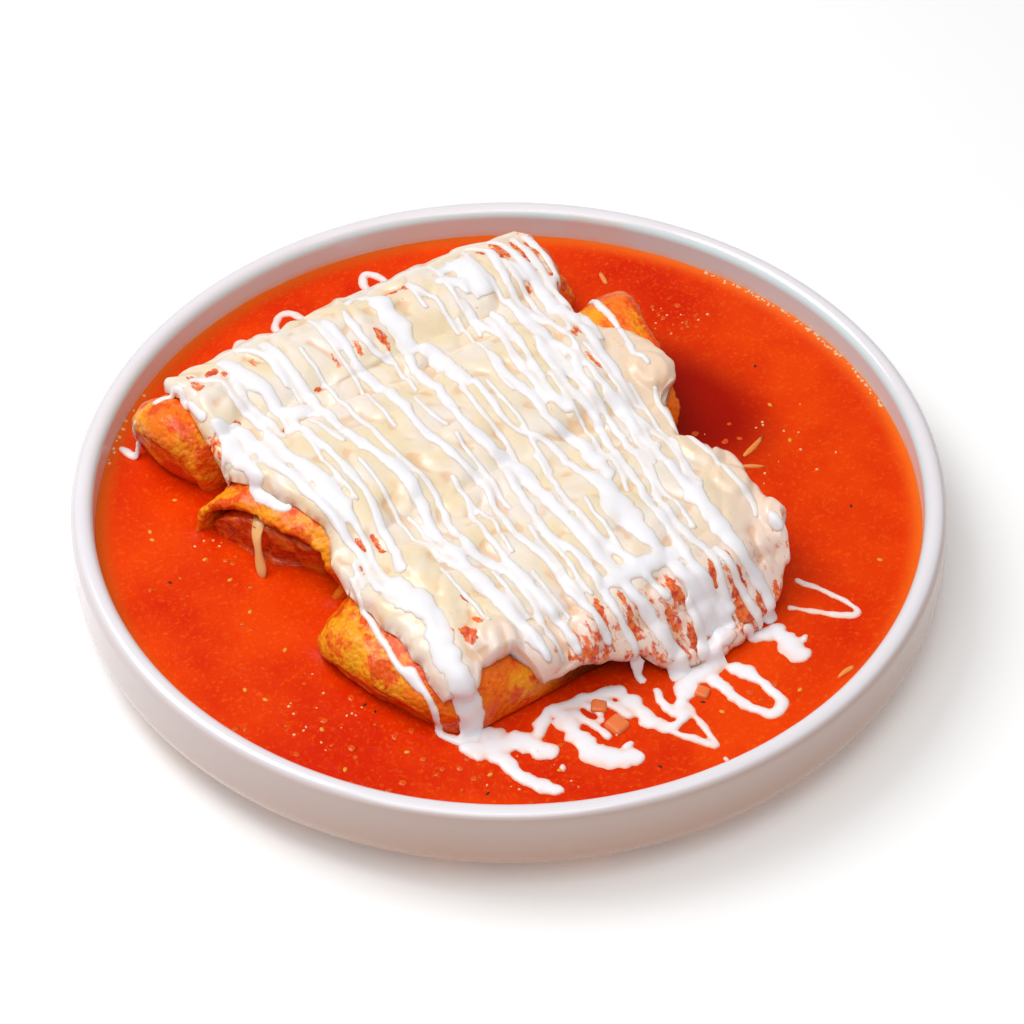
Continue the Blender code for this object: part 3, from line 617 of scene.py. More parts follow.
# Thick lobes that have slid towards the edges, in mm: (x, distance in front, half sizes, extra height)
LOBES = [
    (46, -26, 5.5, 8, 1.4), (57, -6, 6, 6, 1.8), (61, 7, 5.5, 7, 3.2), (50, 30, 6, 9, 2.0),
    (50, 47, 5.5, 6, 1.7), (56, 63.5, 6.5, 6, 2.8), (-46, 60.5, 6.5, 6, 2.6), (-35, 67, 4.5, 5, 1.6),
    (-22, 68, 5, 5, 1.2), (-49, 28, 5.5, 12, 0.8), (-65, -66, 5, 6, 0.9), (31, 74, 7, 6, 0.9),
    (9, 74, 6, 6, 0.7), (-25, -50, 7, 10, 0.7),
]
# Where sauce seeps through, in mm: (x, distance in front, half sizes, strength)
SEEPS = [
    (-66.2, -76, 1.8, 4.5, 1.0), (-58.8, -77.6, 2.6, 1.4, 0.9), (-56.4, -75, 1.6, 1.2, 1.0),
    (-57.6, -66.5, 1.1, 4, 1.0), (-62.5, -60, 1.5, 1.2, 0.8), (-66.2, -59.6, 1.6, 1.1, 0.8),
    (-46, -74, 1.4, 3, 0.6), (-33.9, -58, 1.6, 1.6, 1.0), (-23.5, -63.5, 1.6, 2.4, 0.6),
    (-15.2, -64.5, 1.7, 2.8, 0.8), (-6.2, -64.5, 1.7, 3.4, 1.0), (-50, -48.5, 1.7, 2.2, 0.9),
    (8, -76.8, 6, 1.1, 0.9), (12.4, -76.8, 1.5, 1.7, 1.0), (16.6, -72, 1.0, 1.2, 0.9),
    (41.8, -77.6, 1.2, 1.7, 1.0), (48.2, -76, 2.3, 5, 1.1), (46.5, -71.6, 2, 2, 1.0),
    (46.2, -60.6, 1.8, 1.8, 1.0), (53.9, -74, 1.0, 5, 1.0), (53.2, -69, 1.3, 2.4, 1.0),
    (57.6, -60, 0.9, 4, 1.0), (56.9, -55.6, 1.3, 2.4, 1.0), (57.8, -72, 0.9, 3.5, 0.9),
    (35.4, -23.2, 1.0, 3.2, 1.0), (46, -29, 2.8, 2.6, 0.7), (42.6, -16.5, 1.0, 5, 0.8), (55, -66, 9, 13, 0.5),
    (62, -66, 3, 16, 1.1), (-57.6, 8, 1.5, 6, 1.1), (-53.6, 8, 1.3, 5, 1.0), (-57, 53, 1.4, 1.4, 0.8),
    (-62, 16, 1.3, 5, 0.9), (-45, 44.5, 1.6, 2.2, 0.9), (-52.5, 56, 2.0, 3.6, 1.1), (-47, 53.5, 1.3, 2, 1.0),
    (-24, 55, 1.3, 1.6, 0.7), (-13.7, 65.5, 1.4, 3, 1.0), (-15, 69.5, 1.6, 3, 1.0),
    (-9.5, 65.5, 1.4, 3.4, 1.0), (-5.6, 67, 1.3, 3.5, 1.0), (-2.2, 66, 1.2, 5, 1.1), (-6.8, 72, 2.2, 3, 1.0),
    (10.5, 69.5, 2.0, 3.6, 1.0), (6, 74, 2.0, 4, 0.9), (24, 71, 1.6, 4, 1.1), (30, 69, 1.3, 3.4, 1.0),
    (31.5, 73, 1.4, 4, 0.9), (10, 82, 2.5, 5, 1.1), (28.5, 82, 2.4, 10, 1.1), (35, 80, 1.6, 4, 1.0),
    (21, 79, 1.1, 5, 0.9), (-22, 72, 7, 3.4, 0.8), (8, 82, 40, 7, 0.55), (8, 71, 46, 5, 0.42),
    (-72, -55, 3, 6, 0.8), (44, 82, 5, 6, 0.9),
]
SPOT_REACH = 1.45
FRAY_SIZE = 2.2 * MM
FRAY = 0.9


def curve_at(points, value):
    """Reads (place, value) points with smooth steps between them, and level past both ends."""
    places, heights = np.array(sorted(points), float).T
    held = np.clip(value, places[0], places[-1])
    i = np.clip(np.searchsorted(places, held) - 1, 0, len(places) - 2)
    share = smooth_step((held - places[i]) / (places[i + 1] - places[i]))
    return heights[i] + (heights[i + 1] - heights[i]) * share


def roll_top(roll, x, y):
    """Height of a roll's upper side at points in plan, or 0 beside the roll."""
    size = roll_size(roll, np.clip(x, min(roll["left_end"]) * MM, max(roll["right_end"]) * MM))
    off = np.abs(y - roll["centre_y"] * MM) / (roll["half_width"] * MM * size)
    power = roll["squareness"]
    crown = (1 - np.minimum(off, 1.0) ** power) ** (1 / power)
    half_height = (roll["top"] * MM - ROLL_BOTTOM) / 2
    return np.where(off < 1, ROLL_BOTTOM + half_height * size * (1 + crown), 0.0)


def underlay(x, y):
    """Height of what the cheese lies on: the sauce, the rolls, the filled valleys and the front apron."""
    heights = [SAUCE_LEVEL + 0 * x] + [roll_top(roll, x, y) for roll in ROLLS.values()]
    for middle, height, half_width in VALLEYS:
        crown = height - VALLEY_CROWN * ((y / MM - middle) / half_width) ** 2
        heights.append(np.maximum(0.0, crown) * MM)
    down = np.clip((y - APRON_TOP[0]) / (APRON_FOOT_Y - APRON_TOP[0]), 0.0, 1.0)
    along = smooth_step((x - APRON_FROM_X) / APRON_BLEND)
    heights.append(SAUCE_LEVEL + (APRON_TOP[1] - SAUCE_LEVEL) * (1 - down) * along)
    total = sum((height / MM) ** CHEESE_SOFTNESS for height in heights)
    return total ** (1 / CHEESE_SOFTNESS) * MM


def wobble(value, seed):
    """How far the outline strays, along one side."""
    points = np.stack([value, 0 * value + seed, 0 * value], axis=-1)
    return roughness_at(points, EDGE_WOBBLE_SIZE, 2) * EDGE_WOBBLE


def cheese_plan(rows, columns):
    """The plan of the sheet: x and y of a grid from its back to its front and from its left to its right."""
    share = np.linspace(0, 1, rows)[:, None]
    turned_share = (1 - ROW_GATHERING) * share + ROW_GATHERING * (1 - np.cos(math.pi * share)) / 2

    def y_at(x):
        back = curve_at(BACK_EDGE, x / MM) * MM + wobble(x, 3.3)
        front = curve_at(FRONT_EDGE, x / MM) * MM + wobble(x, 7.9)
        return back + (front - back) * turned_share

    middle_y = y_at(np.zeros((rows, 1)))
    left = curve_at(LEFT_EDGE, middle_y / MM) * MM + wobble(middle_y, 1.1)
    right = curve_at(RIGHT_EDGE, middle_y / MM) * MM + wobble(middle_y, 5.7)
    x = left + (right - left) * np.linspace(0, 1, columns)[None, :]
    return x, y_at(x)


def lifted(x, y, rise):
    """Points at a height over the underlay, square to it across the rolls."""
    slope = (underlay(x, y + SLOPE_STEP) - underlay(x, y - SLOPE_STEP)) / (2 * SLOPE_STEP)
    length = np.sqrt(1 + slope**2)
    over = CHEESE_GAP + rise
    return np.stack([x, y - slope / length * over, underlay(x, y) + over / length], axis=-1)


def blurred(values, times):
    """Spreads a grid of values over its neighbours."""
    for _ in range(times):
        near = np.pad(values, 1, mode="edge")
        values = 0.4 * values + 0.15 * (near[:-2, 1:-1] + near[2:, 1:-1] + near[1:-1, :-2] + near[1:-1, 2:])
    return values


def shred_relief(x, along):
    """Bumps of half-melted shreds, laid over each other at random, on the sheet rolled out flat."""
    rng = np.random.default_rng(11)
    bumps = np.zeros_like(x)
    for _ in range(SHREDS):
        middle = (rng.uniform(x.min(), x.max()), rng.uniform(0, along.max()))
        turn = rng.uniform(0, math.pi)
        length, width, height = (rng.uniform(*span) for span in (SHRED_LENGTH, SHRED_WIDTH, SHRED_HEIGHT))
        dx, dy = x - middle[0], along - middle[1]
        lengthwise = np.maximum(np.abs(dx * math.cos(turn) + dy * math.sin(turn)) - length / 2, 0)
        crosswise = dy * math.cos(turn) - dx * math.sin(turn)
        off = (lengthwise**2 + crosswise**2) / width**2
        bumps = np.maximum(bumps, height * np.sqrt(np.maximum(1 - off, 0)))
    return blurred(bumps, MELTED_BY)


def in_spots(x, y, spots, stray):
    """The greatest value of oval spots in plan at each point, each 1 at its middle times its last number."""
    found = np.zeros_like(x)
    for middle_x, front, half_x, half_y, strength in spots:
        off = ((x / MM - middle_x) / half_x) ** 2 + ((-y / MM - front) / half_y) ** 2 + stray
        found = np.maximum(found, strength * smooth_step(SPOT_REACH - off))
    return found


def make_cheese(name):
    """The sheet. Its creases, which get painted shade, and the sauce that seeps through are kept as
    attributes for its colour.
    """
    x, y = cheese_plan(CHEESE_ROWS, CHEESE_COLUMNS)
    flat = lifted(x, y, 0.0)
    steps = np.linalg.norm(np.diff(flat, axis=0), axis=-1)
    along = np.concatenate([np.zeros((1, x.shape[1])), np.cumsum(steps, axis=0)])
    inward = np.minimum(np.minimum(along, along[-1:] - along), np.minimum(x - x[:, :1], x[:, -1:] - x))
    share = np.clip(inward / CHEESE_EDGE_ROUND, 0, 1)
    bumps = shred_relief(x, along) * (1 - EDGE_CALM * smooth_step((x / MM - CALM_FROM_X[0]) / CALM_FROM_X[1]))
    creases = np.clip((blurred(bumps, CREASE_REACH) - bumps) / CREASE_DEPTH, 0, 1)
    broad = roughness_at(flat, BROAD_SIZE, 2) * BROAD_HEIGHT + in_spots(x, y, LOBES, 0.0) * MM
    rise = (CHEESE_THICKNESS - MELTED_LOSS + bumps + broad) * np.sqrt(1 - (1 - share) ** 2)
    below = cheese_plan(CHEESE_ROWS, CHEESE_COLUMNS // UNDERSIDE_STEP)
    low_x, low_y = (values[::UNDERSIDE_STEP] for values in below)
    piece = closed_sheet(name, lifted(x, y, rise), lifted(low_x, low_y, -UNDERSIDE_DROP))
    ragged = roughness_at(flat, FRAY_SIZE) * FRAY
    for key, field in (("crease", creases), ("seep", in_spots(x, y, SEEPS, ragged))):
        values = np.zeros(len(piece.data.vertices), np.float32)
        values[: field.size] = field.ravel()
        piece.data.attributes.new(key, "FLOAT", "POINT").data.foreach_set("value", values)
    return piece


# Melted mild white cheese: milky and translucent, with fat that shines on it, golden painted shade in its
# creases and orange-red where sauce has seeped through
cheese_finish, tree, shader, place = start_finish(
    "melted_white_cheese",
    {
        "IOR": 1.45, "Coat Weight": 0.35, "Coat Roughness": 0.1, "Subsurface Weight": 0.4,
        "Subsurface Radius": (1.0, 0.6, 0.3), "Subsurface Scale": 0.002, "Roughness": 0.3,
    },
)
blotches = add(tree, "TexNoise", {"Vector": place, "Scale": 1000 / 21, "Detail": 3.0, "Roughness": 0.5})
blotch = add(
    tree, "MapRange", {"Value": blotches, "From Min": 0.4, "From Max": 0.62}, interpolation_type="SMOOTHSTEP"
)
milky = add(tree, "MixRGB", {"Fac": blotch, "Color1": colour("f4dfbc"), "Color2": colour("f4e6d8")})
axes = add(tree, "SeparateXYZ", {"Vector": place})
rightward = add(
    tree, "MapRange", {"Value": axes.outputs["X"], "From Min": 36 * MM, "From Max": 54 * MM, "To Max": 0.8}
)
peach = add(tree, "MixRGB", {"Fac": rightward, "Color1": milky, "Color2": colour("f9d8bd")})
frontward = add(
    tree, "MapRange", {"Value": axes.outputs["Y"], "From Min": -48 * MM, "From Max": -72 * MM, "To Max": 0.75}
)
peach = add(tree, "MixRGB", {"Fac": frontward, "Color1": peach, "Color2": colour("f9ddd2")})
# Painted shade: the creases between the shreds turn golden and darker
creases = add(tree, "Attribute", {}, attribute_name="crease")
crease_shade = add(
    tree, "MapRange", {"Value": creases.outputs["Fac"], "From Min": 0.2, "From Max": 1.0, "To Max": 0.5},
    interpolation_type="SMOOTHSTEP",
)
crease_shaded = add(tree, "MixRGB", {"Fac": crease_shade, "Color1": peach, "Color2": colour("e9b27a")})
seeps = add(tree, "Attribute", {}, attribute_name="seep")
seeped_colours = add(tree, "TexNoise", {"Vector": place, "Scale": 1000 / 1.8, "Detail": 3.0})
seeped_tone = add(tree, "MapRange", {"Value": seeped_colours, "From Min": 0.38, "From Max": 0.6})
seeped = add(tree, "MixRGB", {"Fac": seeped_tone, "Color1": colour("cc2400"), "Color2": colour("ff7a08")})
running = add(tree, "Mapping", {"Vector": place, "Scale": (1.0, 0.42, 0.5)})
flecks = add(tree, "TexNoise", {"Vector": running, "Scale": 1000 / 1.5, "Detail": 4.0, "Roughness": 0.65})
frayed = add(tree, "Math", {0: flecks, 1: 0.5}, operation="SUBTRACT")
frayed = add(tree, "Math", {0: frayed, 1: 2.8, 2: seeps.outputs["Fac"]}, operation="MULTIPLY_ADD")
seeping = add(
    tree, "MapRange", {"Value": frayed, "From Min": 0.4, "From Max": 0.85, "To Max": 0.95},
    interpolation_type="SMOOTHSTEP",
)
sauce_toned = add(tree, "MixRGB", {"Fac": seeping, "Color1": crease_shaded, "Color2": seeped})
tree.links.new(sauce_toned.outputs["Color"], shader.inputs["Base Color"])
curds = add(tree, "TexNoise", {"Vector": place, "Scale": 1000 / 2.2, "Detail": 3.0})
relief = add(tree, "Bump", {"Height": curds, "Strength": 0.2, "Distance": 0.5 * MM})
tree.links.new(relief.outputs["Normal"], shader.inputs["Normal"])

cheese = dress(make_cheese("melted_cheese"), cheese_finish, "cheese", "cheese")

# The cream: soured cream let down with milk and squeezed over the food in quick passes to and fro. It lies in
# soft strands that flow together, runs down the front and pools on the sauce.
# Each strand is a row of places in plan, (x, distance in front of the middle, half width), in millimetres.
CREAM_PASSES = [
    [(-79, -81, 1.2), (-74, -81.5, 1.4), (-71, -79, 1.6), (-71, -74, 1.7), (-71.5, -68, 1.8),
     (-71, -62, 2.2)],
    [(-69, -61, 2.4), (-68, -56, 3.4), (-68.5, -50, 3.8), (-69, -42, 4.0), (-70, -34, 3.8), (-69.5, -27, 3.4),
     (-68, -21, 3.0), (-66.5, -19, 2.0)],
    [(-74, -47.5, 0.9), (-71, -49.5, 1.6), (-67, -50.5, 2.2)],
    [(-64, -58, 2.4), (-62.5, -51, 3.2), (-62, -44, 3.4), (-63, -36, 3.0), (-63, -30, 2.4), (-62, -24, 2.4),
     (-61.5, -18, 2.2), (-60.5, -10, 2.2), (-60.3, -4, 2.3), (-60, 2, 2.0), (-59.8, 7, 1.6), (-60, 12, 1.4),
     (-61.5, 17, 1.3), (-63, 22, 1.5), (-63.5, 27, 2.2)],
    [(-57.5, -30, 2.8), (-56.5, -22, 3.5), (-56, -14, 3.8), (-56, -6, 3.4), (-55.6, 1, 1.5), (-55.8, 7, 1.1),
     (-57.8, 14, 1.1), (-59.3, 20, 1.3), (-60, 26, 2.0)],
    [(-56.5, -51, 2.0), (-57, -44, 2.5), (-58, -38, 2.3), (-58.5, -32, 2.4), (-57.5, -27, 2.4)],
    [(-67, -79, 0.9), (-64.5, -78, 1.2), (-62, -76, 1.4), (-59, -73.5, 1.5), (-58.8, -68, 1.1),
     (-58.8, -63, 1.4), (-57, -57, 1.9), (-56, -51, 1.8)],
    [(-54, -83, 2.6), (-53, -77, 3.6), (-52.5, -71, 3.6), (-49.8, -65, 3.1), (-48.8, -60, 3.0),
     (-48.5, -55, 3.2), (-45.5, -52, 2.8), (-41, -50, 2.7), (-38, -45, 2.5)],
    [(-54.8, -73, 1.9), (-55.8, -66, 1.4), (-55.2, -60, 1.3), (-54, -55, 1.5), (-53, -50, 1.2),
     (-52.5, -45, 1.0)],
    [(-48, -84, 1.5), (-45, -82, 1.4), (-43, -77, 1.6), (-41.5, -71, 1.7), (-41.5, -65, 1.7),
     (-42, -60, 1.3)],
    [(-38.5, -82, 1.3), (-38.5, -75, 1.8), (-38, -68, 1.9), (-38, -61, 2.1), (-37.5, -54, 2.4),
     (-37.5, -47, 2.3), (-38, -40, 2.1), (-38, -33, 2.1), (-37.5, -26, 2.3), (-36, -19, 2.5), (-34, -12, 2.9),
     (-33.5, -5, 3.0), (-34, 2, 2.6), (-36, 10, 2.6), (-37.5, 20, 1.7), (-38.5, 28, 3.1), (-38.5, 38, 3.6),
     (-38.2, 48, 3.5), (-37.5, 58, 3.1), (-37, 66, 2.8), (-36.5, 72, 2.2), (-36.2, 75, 1.6)],
    [(-32.3, -57.2, 1.1), (-31, -56.3, 1.3)],
    [(-31, -72, 0.9), (-31, -66, 1.0), (-31, -58, 0.9), (-31, -48, 1.0), (-31, -38, 1.0), (-31, -28, 1.2),
     (-31.3, -20, 1.3), (-30, -12, 1.1), (-28.8, -5, 1.2), (-28.5, 1.5, 1.3), (-30, 10, 1.5),
     (-32, 17.5, 1.5), (-33, 25, 1.7), (-33.3, 31, 2.3), (-31.5, 36, 2.5), (-30, 42.5, 1.9), (-29.5, 50, 1.7),
     (-30, 57.5, 1.6), (-31.5, 65, 1.6), (-31.5, 71, 1.5), (-31.2, 75, 1.3)],
    [(-47, -50, 1.8), (-47.5, -43, 1.8), (-48, -36, 1.7), (-47.5, -29, 1.6), (-47, -22, 1.7), (-47, -14, 1.8),
     (-47, -6, 1.7), (-48, 0, 1.7), (-49, 4, 1.8), (-50, 10, 1.8), (-51.5, 16.5, 1.9), (-53.5, 21, 2.1),
     (-55, 26, 2.6)],
    [(-43.5, -46, 1.0), (-42.5, -40, 1.1), (-42, -34, 1.2), (-41, -28, 1.0)],
    [(-21.5, -83, 1.1), (-21, -77, 1.3), (-20.5, -70, 1.4), (-20, -64, 1.3)],
    [(-18.5, -79, 1.7), (-18, -72, 2.1), (-18, -65, 2.0), (-18.5, -58, 1.8), (-17.5, -51, 2.3),
     (-16.8, -44, 2.5), (-17, -37, 2.4), (-17.5, -30, 2.1), (-18.5, -23, 1.7), (-17.8, -16, 2.1),
     (-16.5, -9, 2.1), (-15.5, -2, 1.8), (-14, 3, 1.6), (-13.8, 6, 1.5), (-14.5, 11.5, 1.5),
     (-16.5, 17.5, 1.5), (-17.5, 24, 1.5), (-18.5, 30, 1.5), (-18, 37.5, 1.6), (-17, 45, 1.6),
     (-17.5, 52.5, 1.6), (-18, 60, 1.7), (-16.5, 66.5, 1.7), (-16, 73, 1.7), (-15.8, 76.5, 1.5)],
    [(-10.5, -79, 1.2), (-11, -74, 1.7), (-11.8, -68, 1.7), (-11.5, -62, 1.6), (-10, -57, 1.4),
     (-8, -53, 1.2)],
    [(-12, -35, 0.9), (-12.5, -28, 1.2), (-12, -22, 1.2), (-10.5, -17, 0.9)],
    [(-8, -81, 1.2), (-4, -83, 1.6), (0, -82, 2.0), (1.5, -76, 4.2), (1, -70, 4.9), (0.5, -64, 5.3),
     (0.3, -58, 4.9), (0.8, -53, 4.6)],
    [(-2, -54, 2.4), (-3.5, -48, 2.5), (-4, -41, 2.4), (-4, -34, 2.3), (-4.8, -27, 2.1), (-5.8, -20, 2.1),
     (-6, -13, 2.2), (-4.8, -7, 2.7), (-4, -1, 2.3), (-4, 2.5, 1.8), (-5.5, 10, 1.8), (-7, 16.5, 1.8),
     (-8.5, 22.5, 1.8), (-9.5, 28, 1.8), (-11, 34, 1.8), (-10.5, 40, 1.8), (-9, 45, 1.8), (-8, 50, 2.0),
     (-8.5, 57.5, 2.0), (-9.5, 65, 1.9), (-9.5, 72, 1.7), (-9, 77, 1.6), (-8, 84, 1.6)],
    [(4, -56, 3.2), (5.5, -49, 3.9), (5, -42, 3.9), (4.5, -36, 3.9), (4.6, -30, 3.2)],
    [(3, -31, 1.7), (1.5, -24, 1.2), (1, -18, 1.1), (1, -12, 1.1), (1.5, -6, 1.3), (1, 0, 1.3), (0, 5, 1.5)],
    [(6, -31, 2.1), (6.7, -25, 1.7), (6, -18, 1.4), (5.3, -12, 1.3), (6.2, -7, 1.1), (8.5, -3, 1.3),
     (11, 0, 1.6), (12.8, 4, 1.7), (13.5, 9, 1.7), (13.3, 15, 1.7), (13, 21, 1.8), (14, 26, 2.7),
     (14.5, 31, 4.3), (13.5, 37, 5.4), (13, 42, 5.6), (12.8, 48, 4.5), (12.8, 54, 3.5), (13.8, 60, 2.8),
     (14.5, 66, 2.7), (16, 72, 3.0), (17.5, 78, 3.8), (17.5, 84, 4.6)],
    [(-3, -2, 1.8), (-2, 4, 3.0), (-1, 10, 3.1), (-1.5, 20, 2.9), (-3, 30, 2.7), (-3, 40, 2.9),
     (-2.5, 50, 2.9), (-2.5, 58, 3.0), (-2.5, 66, 2.6), (-1, 72, 2.4), (1, 78, 2.8), (3, 84, 3.6),
     (3, 90, 4.4)],
    [(6.5, 4, 1.1), (6, 12, 1.2), (4, 18, 1.2), (2.5, 24, 1.2), (1.5, 30, 1.3), (1.5, 38, 1.5), (1, 46, 1.7),
     (3, 54, 1.7), (4.5, 60, 2.0), (5.5, 67, 1.7), (7.5, 74, 1.5)],
    [(-9, 61.5, 2.4), (-2, 62, 3.6), (5, 62, 3.6), (12, 62.5, 3.4), (19, 62, 2.6)],
    [(18.5, -38, 1.2), (17.8, -33, 1.6), (16.8, -27, 1.8), (16.8, -21, 1.8), (17.8, -15, 2.0),
     (17.8, -9, 1.7), (17, -4, 1.7), (18.5, 0, 2.3), (20.5, 5, 2.7), (21, 10, 3.1), (20, 17, 3.4),
     (18.8, 24, 2.9), (17.5, 29, 2.3)],
    [(24, -76, 1.8), (29, -78, 2.4), (34, -76, 4.5), (34, -71, 5.4), (34, -66, 5.4), (34, -61, 4.6)],
    [(21, -74, 1.6), (24, -73, 2.3), (27.5, -70, 2.5), (28, -64, 1.7)],
    [(25, -64, 1.7), (25.2, -58, 1.8), (25.5, -52, 1.7), (28, -47, 1.2)],
    [(18, -70, 0.9), (17.8, -62, 1.3), (18, -54, 1.1)],
    [(14, -80, 0.9), (14.6, -76, 1.0), (15.6, -72.5, 1.2), (18, -68, 0.9)],
    [(28.8, -56, 1.3), (28.8, -50, 1.5), (27.5, -45, 1.4), (25.5, -40, 1.4), (24, -34, 1.3), (23.5, -28, 1.1),
     (22.5, -22, 1.2), (21.5, -14, 1.4), (22.5, -7, 1.4)],
    [(31.5, -57, 1.7), (32, -50, 1.9), (30.5, -44, 1.7), (29, -38, 1.6), (28, -32, 1.4), (26, -25, 1.5),
     (24.5, -18, 1.5), (23.5, -11, 1.6), (24.5, -6, 2.7), (26, -2, 2.8)],
    [(38, -58, 2.1), (38.5, -50, 2.3), (38, -44, 2.9), (37, -38, 3.4), (36.8, -32, 3.0), (38.2, -26, 1.8),
     (38.3, -20, 1.6), (36.3, -15, 1.8), (35.5, -9, 1.6), (35, -3, 1.5), (34.5, 2, 1.4), (33.5, 13, 1.4),
     (32, 22, 1.4), (29.5, 30, 1.4), (28.5, 35, 1.4), (26, 42, 1.4), (24.5, 50, 1.5), (24, 55, 1.6),
     (24.5, 62, 1.6), (26.5, 68, 1.6), (25.5, 75, 1.6), (24.5, 82, 2.2)],
    [(34.5, -36, 1.9), (33, -30, 1.9), (31.5, -24, 1.9), (30.5, -17, 1.7), (29.8, -11, 1.6), (30, -5, 1.9),
     (31, 0, 1.9), (30, 6, 1.7), (29, 11, 1.6), (27, 20, 1.6), (25, 28, 1.6), (24, 35, 1.6), (22, 42, 1.6),
     (21.5, 50, 1.7), (20.5, 57, 1.8), (20, 62, 1.9), (19.5, 68, 2.0), (20.5, 74, 2.4), (22, 80, 3.0),
     (22.5, 86, 3.0)],
    [(41.5, -54, 1.3), (42, -47, 1.5), (42.5, -41, 1.5), (43, -35, 1.3), (42.3, -28, 1.1), (41, -22, 1.1),
     (40, -15, 1.3), (39.5, -8, 1.5), (40, -2, 2.3), (40.5, 3, 3.2), (40, 7, 2.5), (39, 12, 1.6),
     (38.5, 20, 1.6), (36.8, 28, 1.7), (36.5, 36, 2.0), (35.6, 44, 3.1), (35.2, 50, 3.7), (35.2, 56, 3.8),
     (34.6, 62, 4.0), (35, 68, 3.6), (36, 74, 3.0), (37.5, 80, 2.6), (38, 86, 2.8)],
    [(42, 6, 1.4), (43, 11, 1.1), (43.8, 20, 1.1), (42.5, 27, 1.1), (40.5, 35, 1.1), (38.8, 41, 1.3),
     (39, 47, 1.5)],
    [(39, -85, 1.3), (42, -83, 1.6), (44.5, -79, 2.0), (44, -74, 2.1), (43, -69, 1.7), (42, -63, 1.7),
     (41.5, -57, 1.5)],
    [(47.5, -84, 1.4), (50.5, -80.5, 1.5), (51.3, -75, 1.7), (51.2, -69, 1.9), (51, -64, 2.6), (51, -58, 2.4),
     (50, -52, 3.2), (50, -46, 3.5), (50.5, -40, 3.0), (49.5, -34, 1.7), (48.4, -27, 1.7), (47.3, -20, 1.9),
     (46.8, -15, 2.3), (46.5, -10, 1.9), (45.8, -4, 1.3), (45.5, 2, 1.0), (46, 6, 0.8)],
    [(55, -81, 1.0), (56, -75, 1.1), (56, -69, 1.2), (55.5, -63, 1.4), (55, -57, 1.5), (54.8, -50, 1.9),
     (55, -44, 2.1), (54.5, -38, 2.1), (53, -32, 1.7), (52, -27, 1.5), (50.5, -22, 1.4)],
    [(59.5, -81, 1.4), (60.2, -75, 1.6), (60, -69, 1.5), (59.2, -62, 1.1), (58.8, -56, 1.0),
     (58.3, -51, 0.9)],
    [(46.5, -70, 1.2), (48.5, -66, 1.7), (49, -61, 1.7)],
    [(65, -50, 1.0), (63.5, -46, 1.5), (62, -41, 1.4), (61.2, -35, 1.3), (60.5, -29, 1.2), (59, -23, 1.2),
     (57.3, -17, 1.4), (56, -12, 1.5), (57, -8, 1.4), (56.5, -5, 0.9)],
    [(54.5, 1, 1.1), (52, 7, 1.2), (51.5, 14, 1.2), (50.5, 20, 1.2), (50, 27, 1.2), (50.3, 40, 1.2),
     (50, 50, 1.3), (50.5, 57, 1.3), (48, 62.5, 1.3)],
    [(51.2, 64, 2.2), (51.5, 70, 2.3)],
    [(-66.0, 14, 1.1), (-68.7, 24, 1.2), (-69.4, 31.5, 1.2), (-71, 41, 1.2), (-72, 49.6, 1.4),
     (-70.8, 54.2, 2.4), (-70.1, 61, 1.3), (-69.1, 67.3, 1.3), (-67.2, 70.7, 1.6), (-64, 75, 2.0)],
    [(-62.5, 10, 0.9), (-64.5, 17, 1.0), (-66.5, 22, 1.0)],
    [(-60, 25, 4.4), (-59.8, 30, 5.8), (-59, 36, 5.6), (-58, 42, 5.4), (-59, 50, 5.0), (-61.5, 57, 5.2),
     (-62, 64, 5.0), (-61.5, 70, 4.8), (-60, 76, 5.0)],
    [(-20.5, -1, 1.0), (-21, 6, 1.1), (-22, 11.5, 1.1), (-24, 16.5, 1.1), (-25, 22.5, 1.1), (-26, 27.5, 1.2),
     (-26.5, 35, 1.4), (-27, 42, 2.1), (-27, 50, 2.5), (-27, 57, 2.3), (-26.5, 64, 1.9), (-26, 72, 1.8),
     (-25.8, 75.5, 1.5)],
    [(29, 66, 1.3), (30, 73, 1.4), (31, 80, 1.5), (33, 86, 2.0)],
    [(13, 75, 1.8), (13, 82, 2.2), (11, 88, 3.0)],
]
# Fine threads between the passes, in mm: (x at the middle, first and last distance in front, half width), and
# how far a thread drifts to the right on its way, by its distance in front. Those on the left drift less.
FINE_THREADS = [
    (8.5, -28, 18, 0.9), (12, 30, 68, 0.9), (13, -60, -12, 0.8), (16, -84, -44, 1.1), (20, -50, -2, 0.9),
    (26.5, -20, 40, 0.9), (30, 30, 72, 0.9), (32.5, -40, 6, 1.0), (36, 10, 62, 0.9), (34, -60, -10, 1.0),
    (38.5, -4, 34, 0.8), (38, -72, -30, 1.1), (43, -24, 30, 0.9), (43, -66, -24, 1.0), (48, -4, 48, 0.8),
    (49, -60, -20, 1.0), (29, -84, -54, 1.0), (22, -82, -60, 0.9), (6, -80, -62, 0.9), (47, -82, -60, 1.0),
    (-43, -82, -52, 0.9), (-42, -20, 30, 0.9), (-39.5, 4, 36, 0.8), (-25, -60, -20, 0.8),
    (-25, -78, -50, 0.9), (-20, 10, 44, 0.8), (-11, -14, 22, 0.9), (-7, 36, 66, 0.9), (-51, -40, -4, 0.9),
    (-43, 30, 62, 0.8), (-31, 40, 68, 0.9), (-19, 46, 70, 0.8), (-10, 30, 68, 0.9), (8, 42, 66, 0.9),
    (-52, -66, -40, 1.0), (-12, -58, -30, 0.8), (33, 46, 64, 0.9), (42, 48, 70, 0.8),
]
THREAD_DRIFT = [(-84, 9), (-62, 8), (-45, 6), (-25, 1.5), (0, 0), (20, -2.5), (40, -7), (60, -9), (84, -7)]
DRIFT_LEAST = 0.3
DRIFT_FROM_X = -50
DRIFT_WIDTH = 60
THREAD_SWAY = 1.1
SWAY_LENGTH = 14
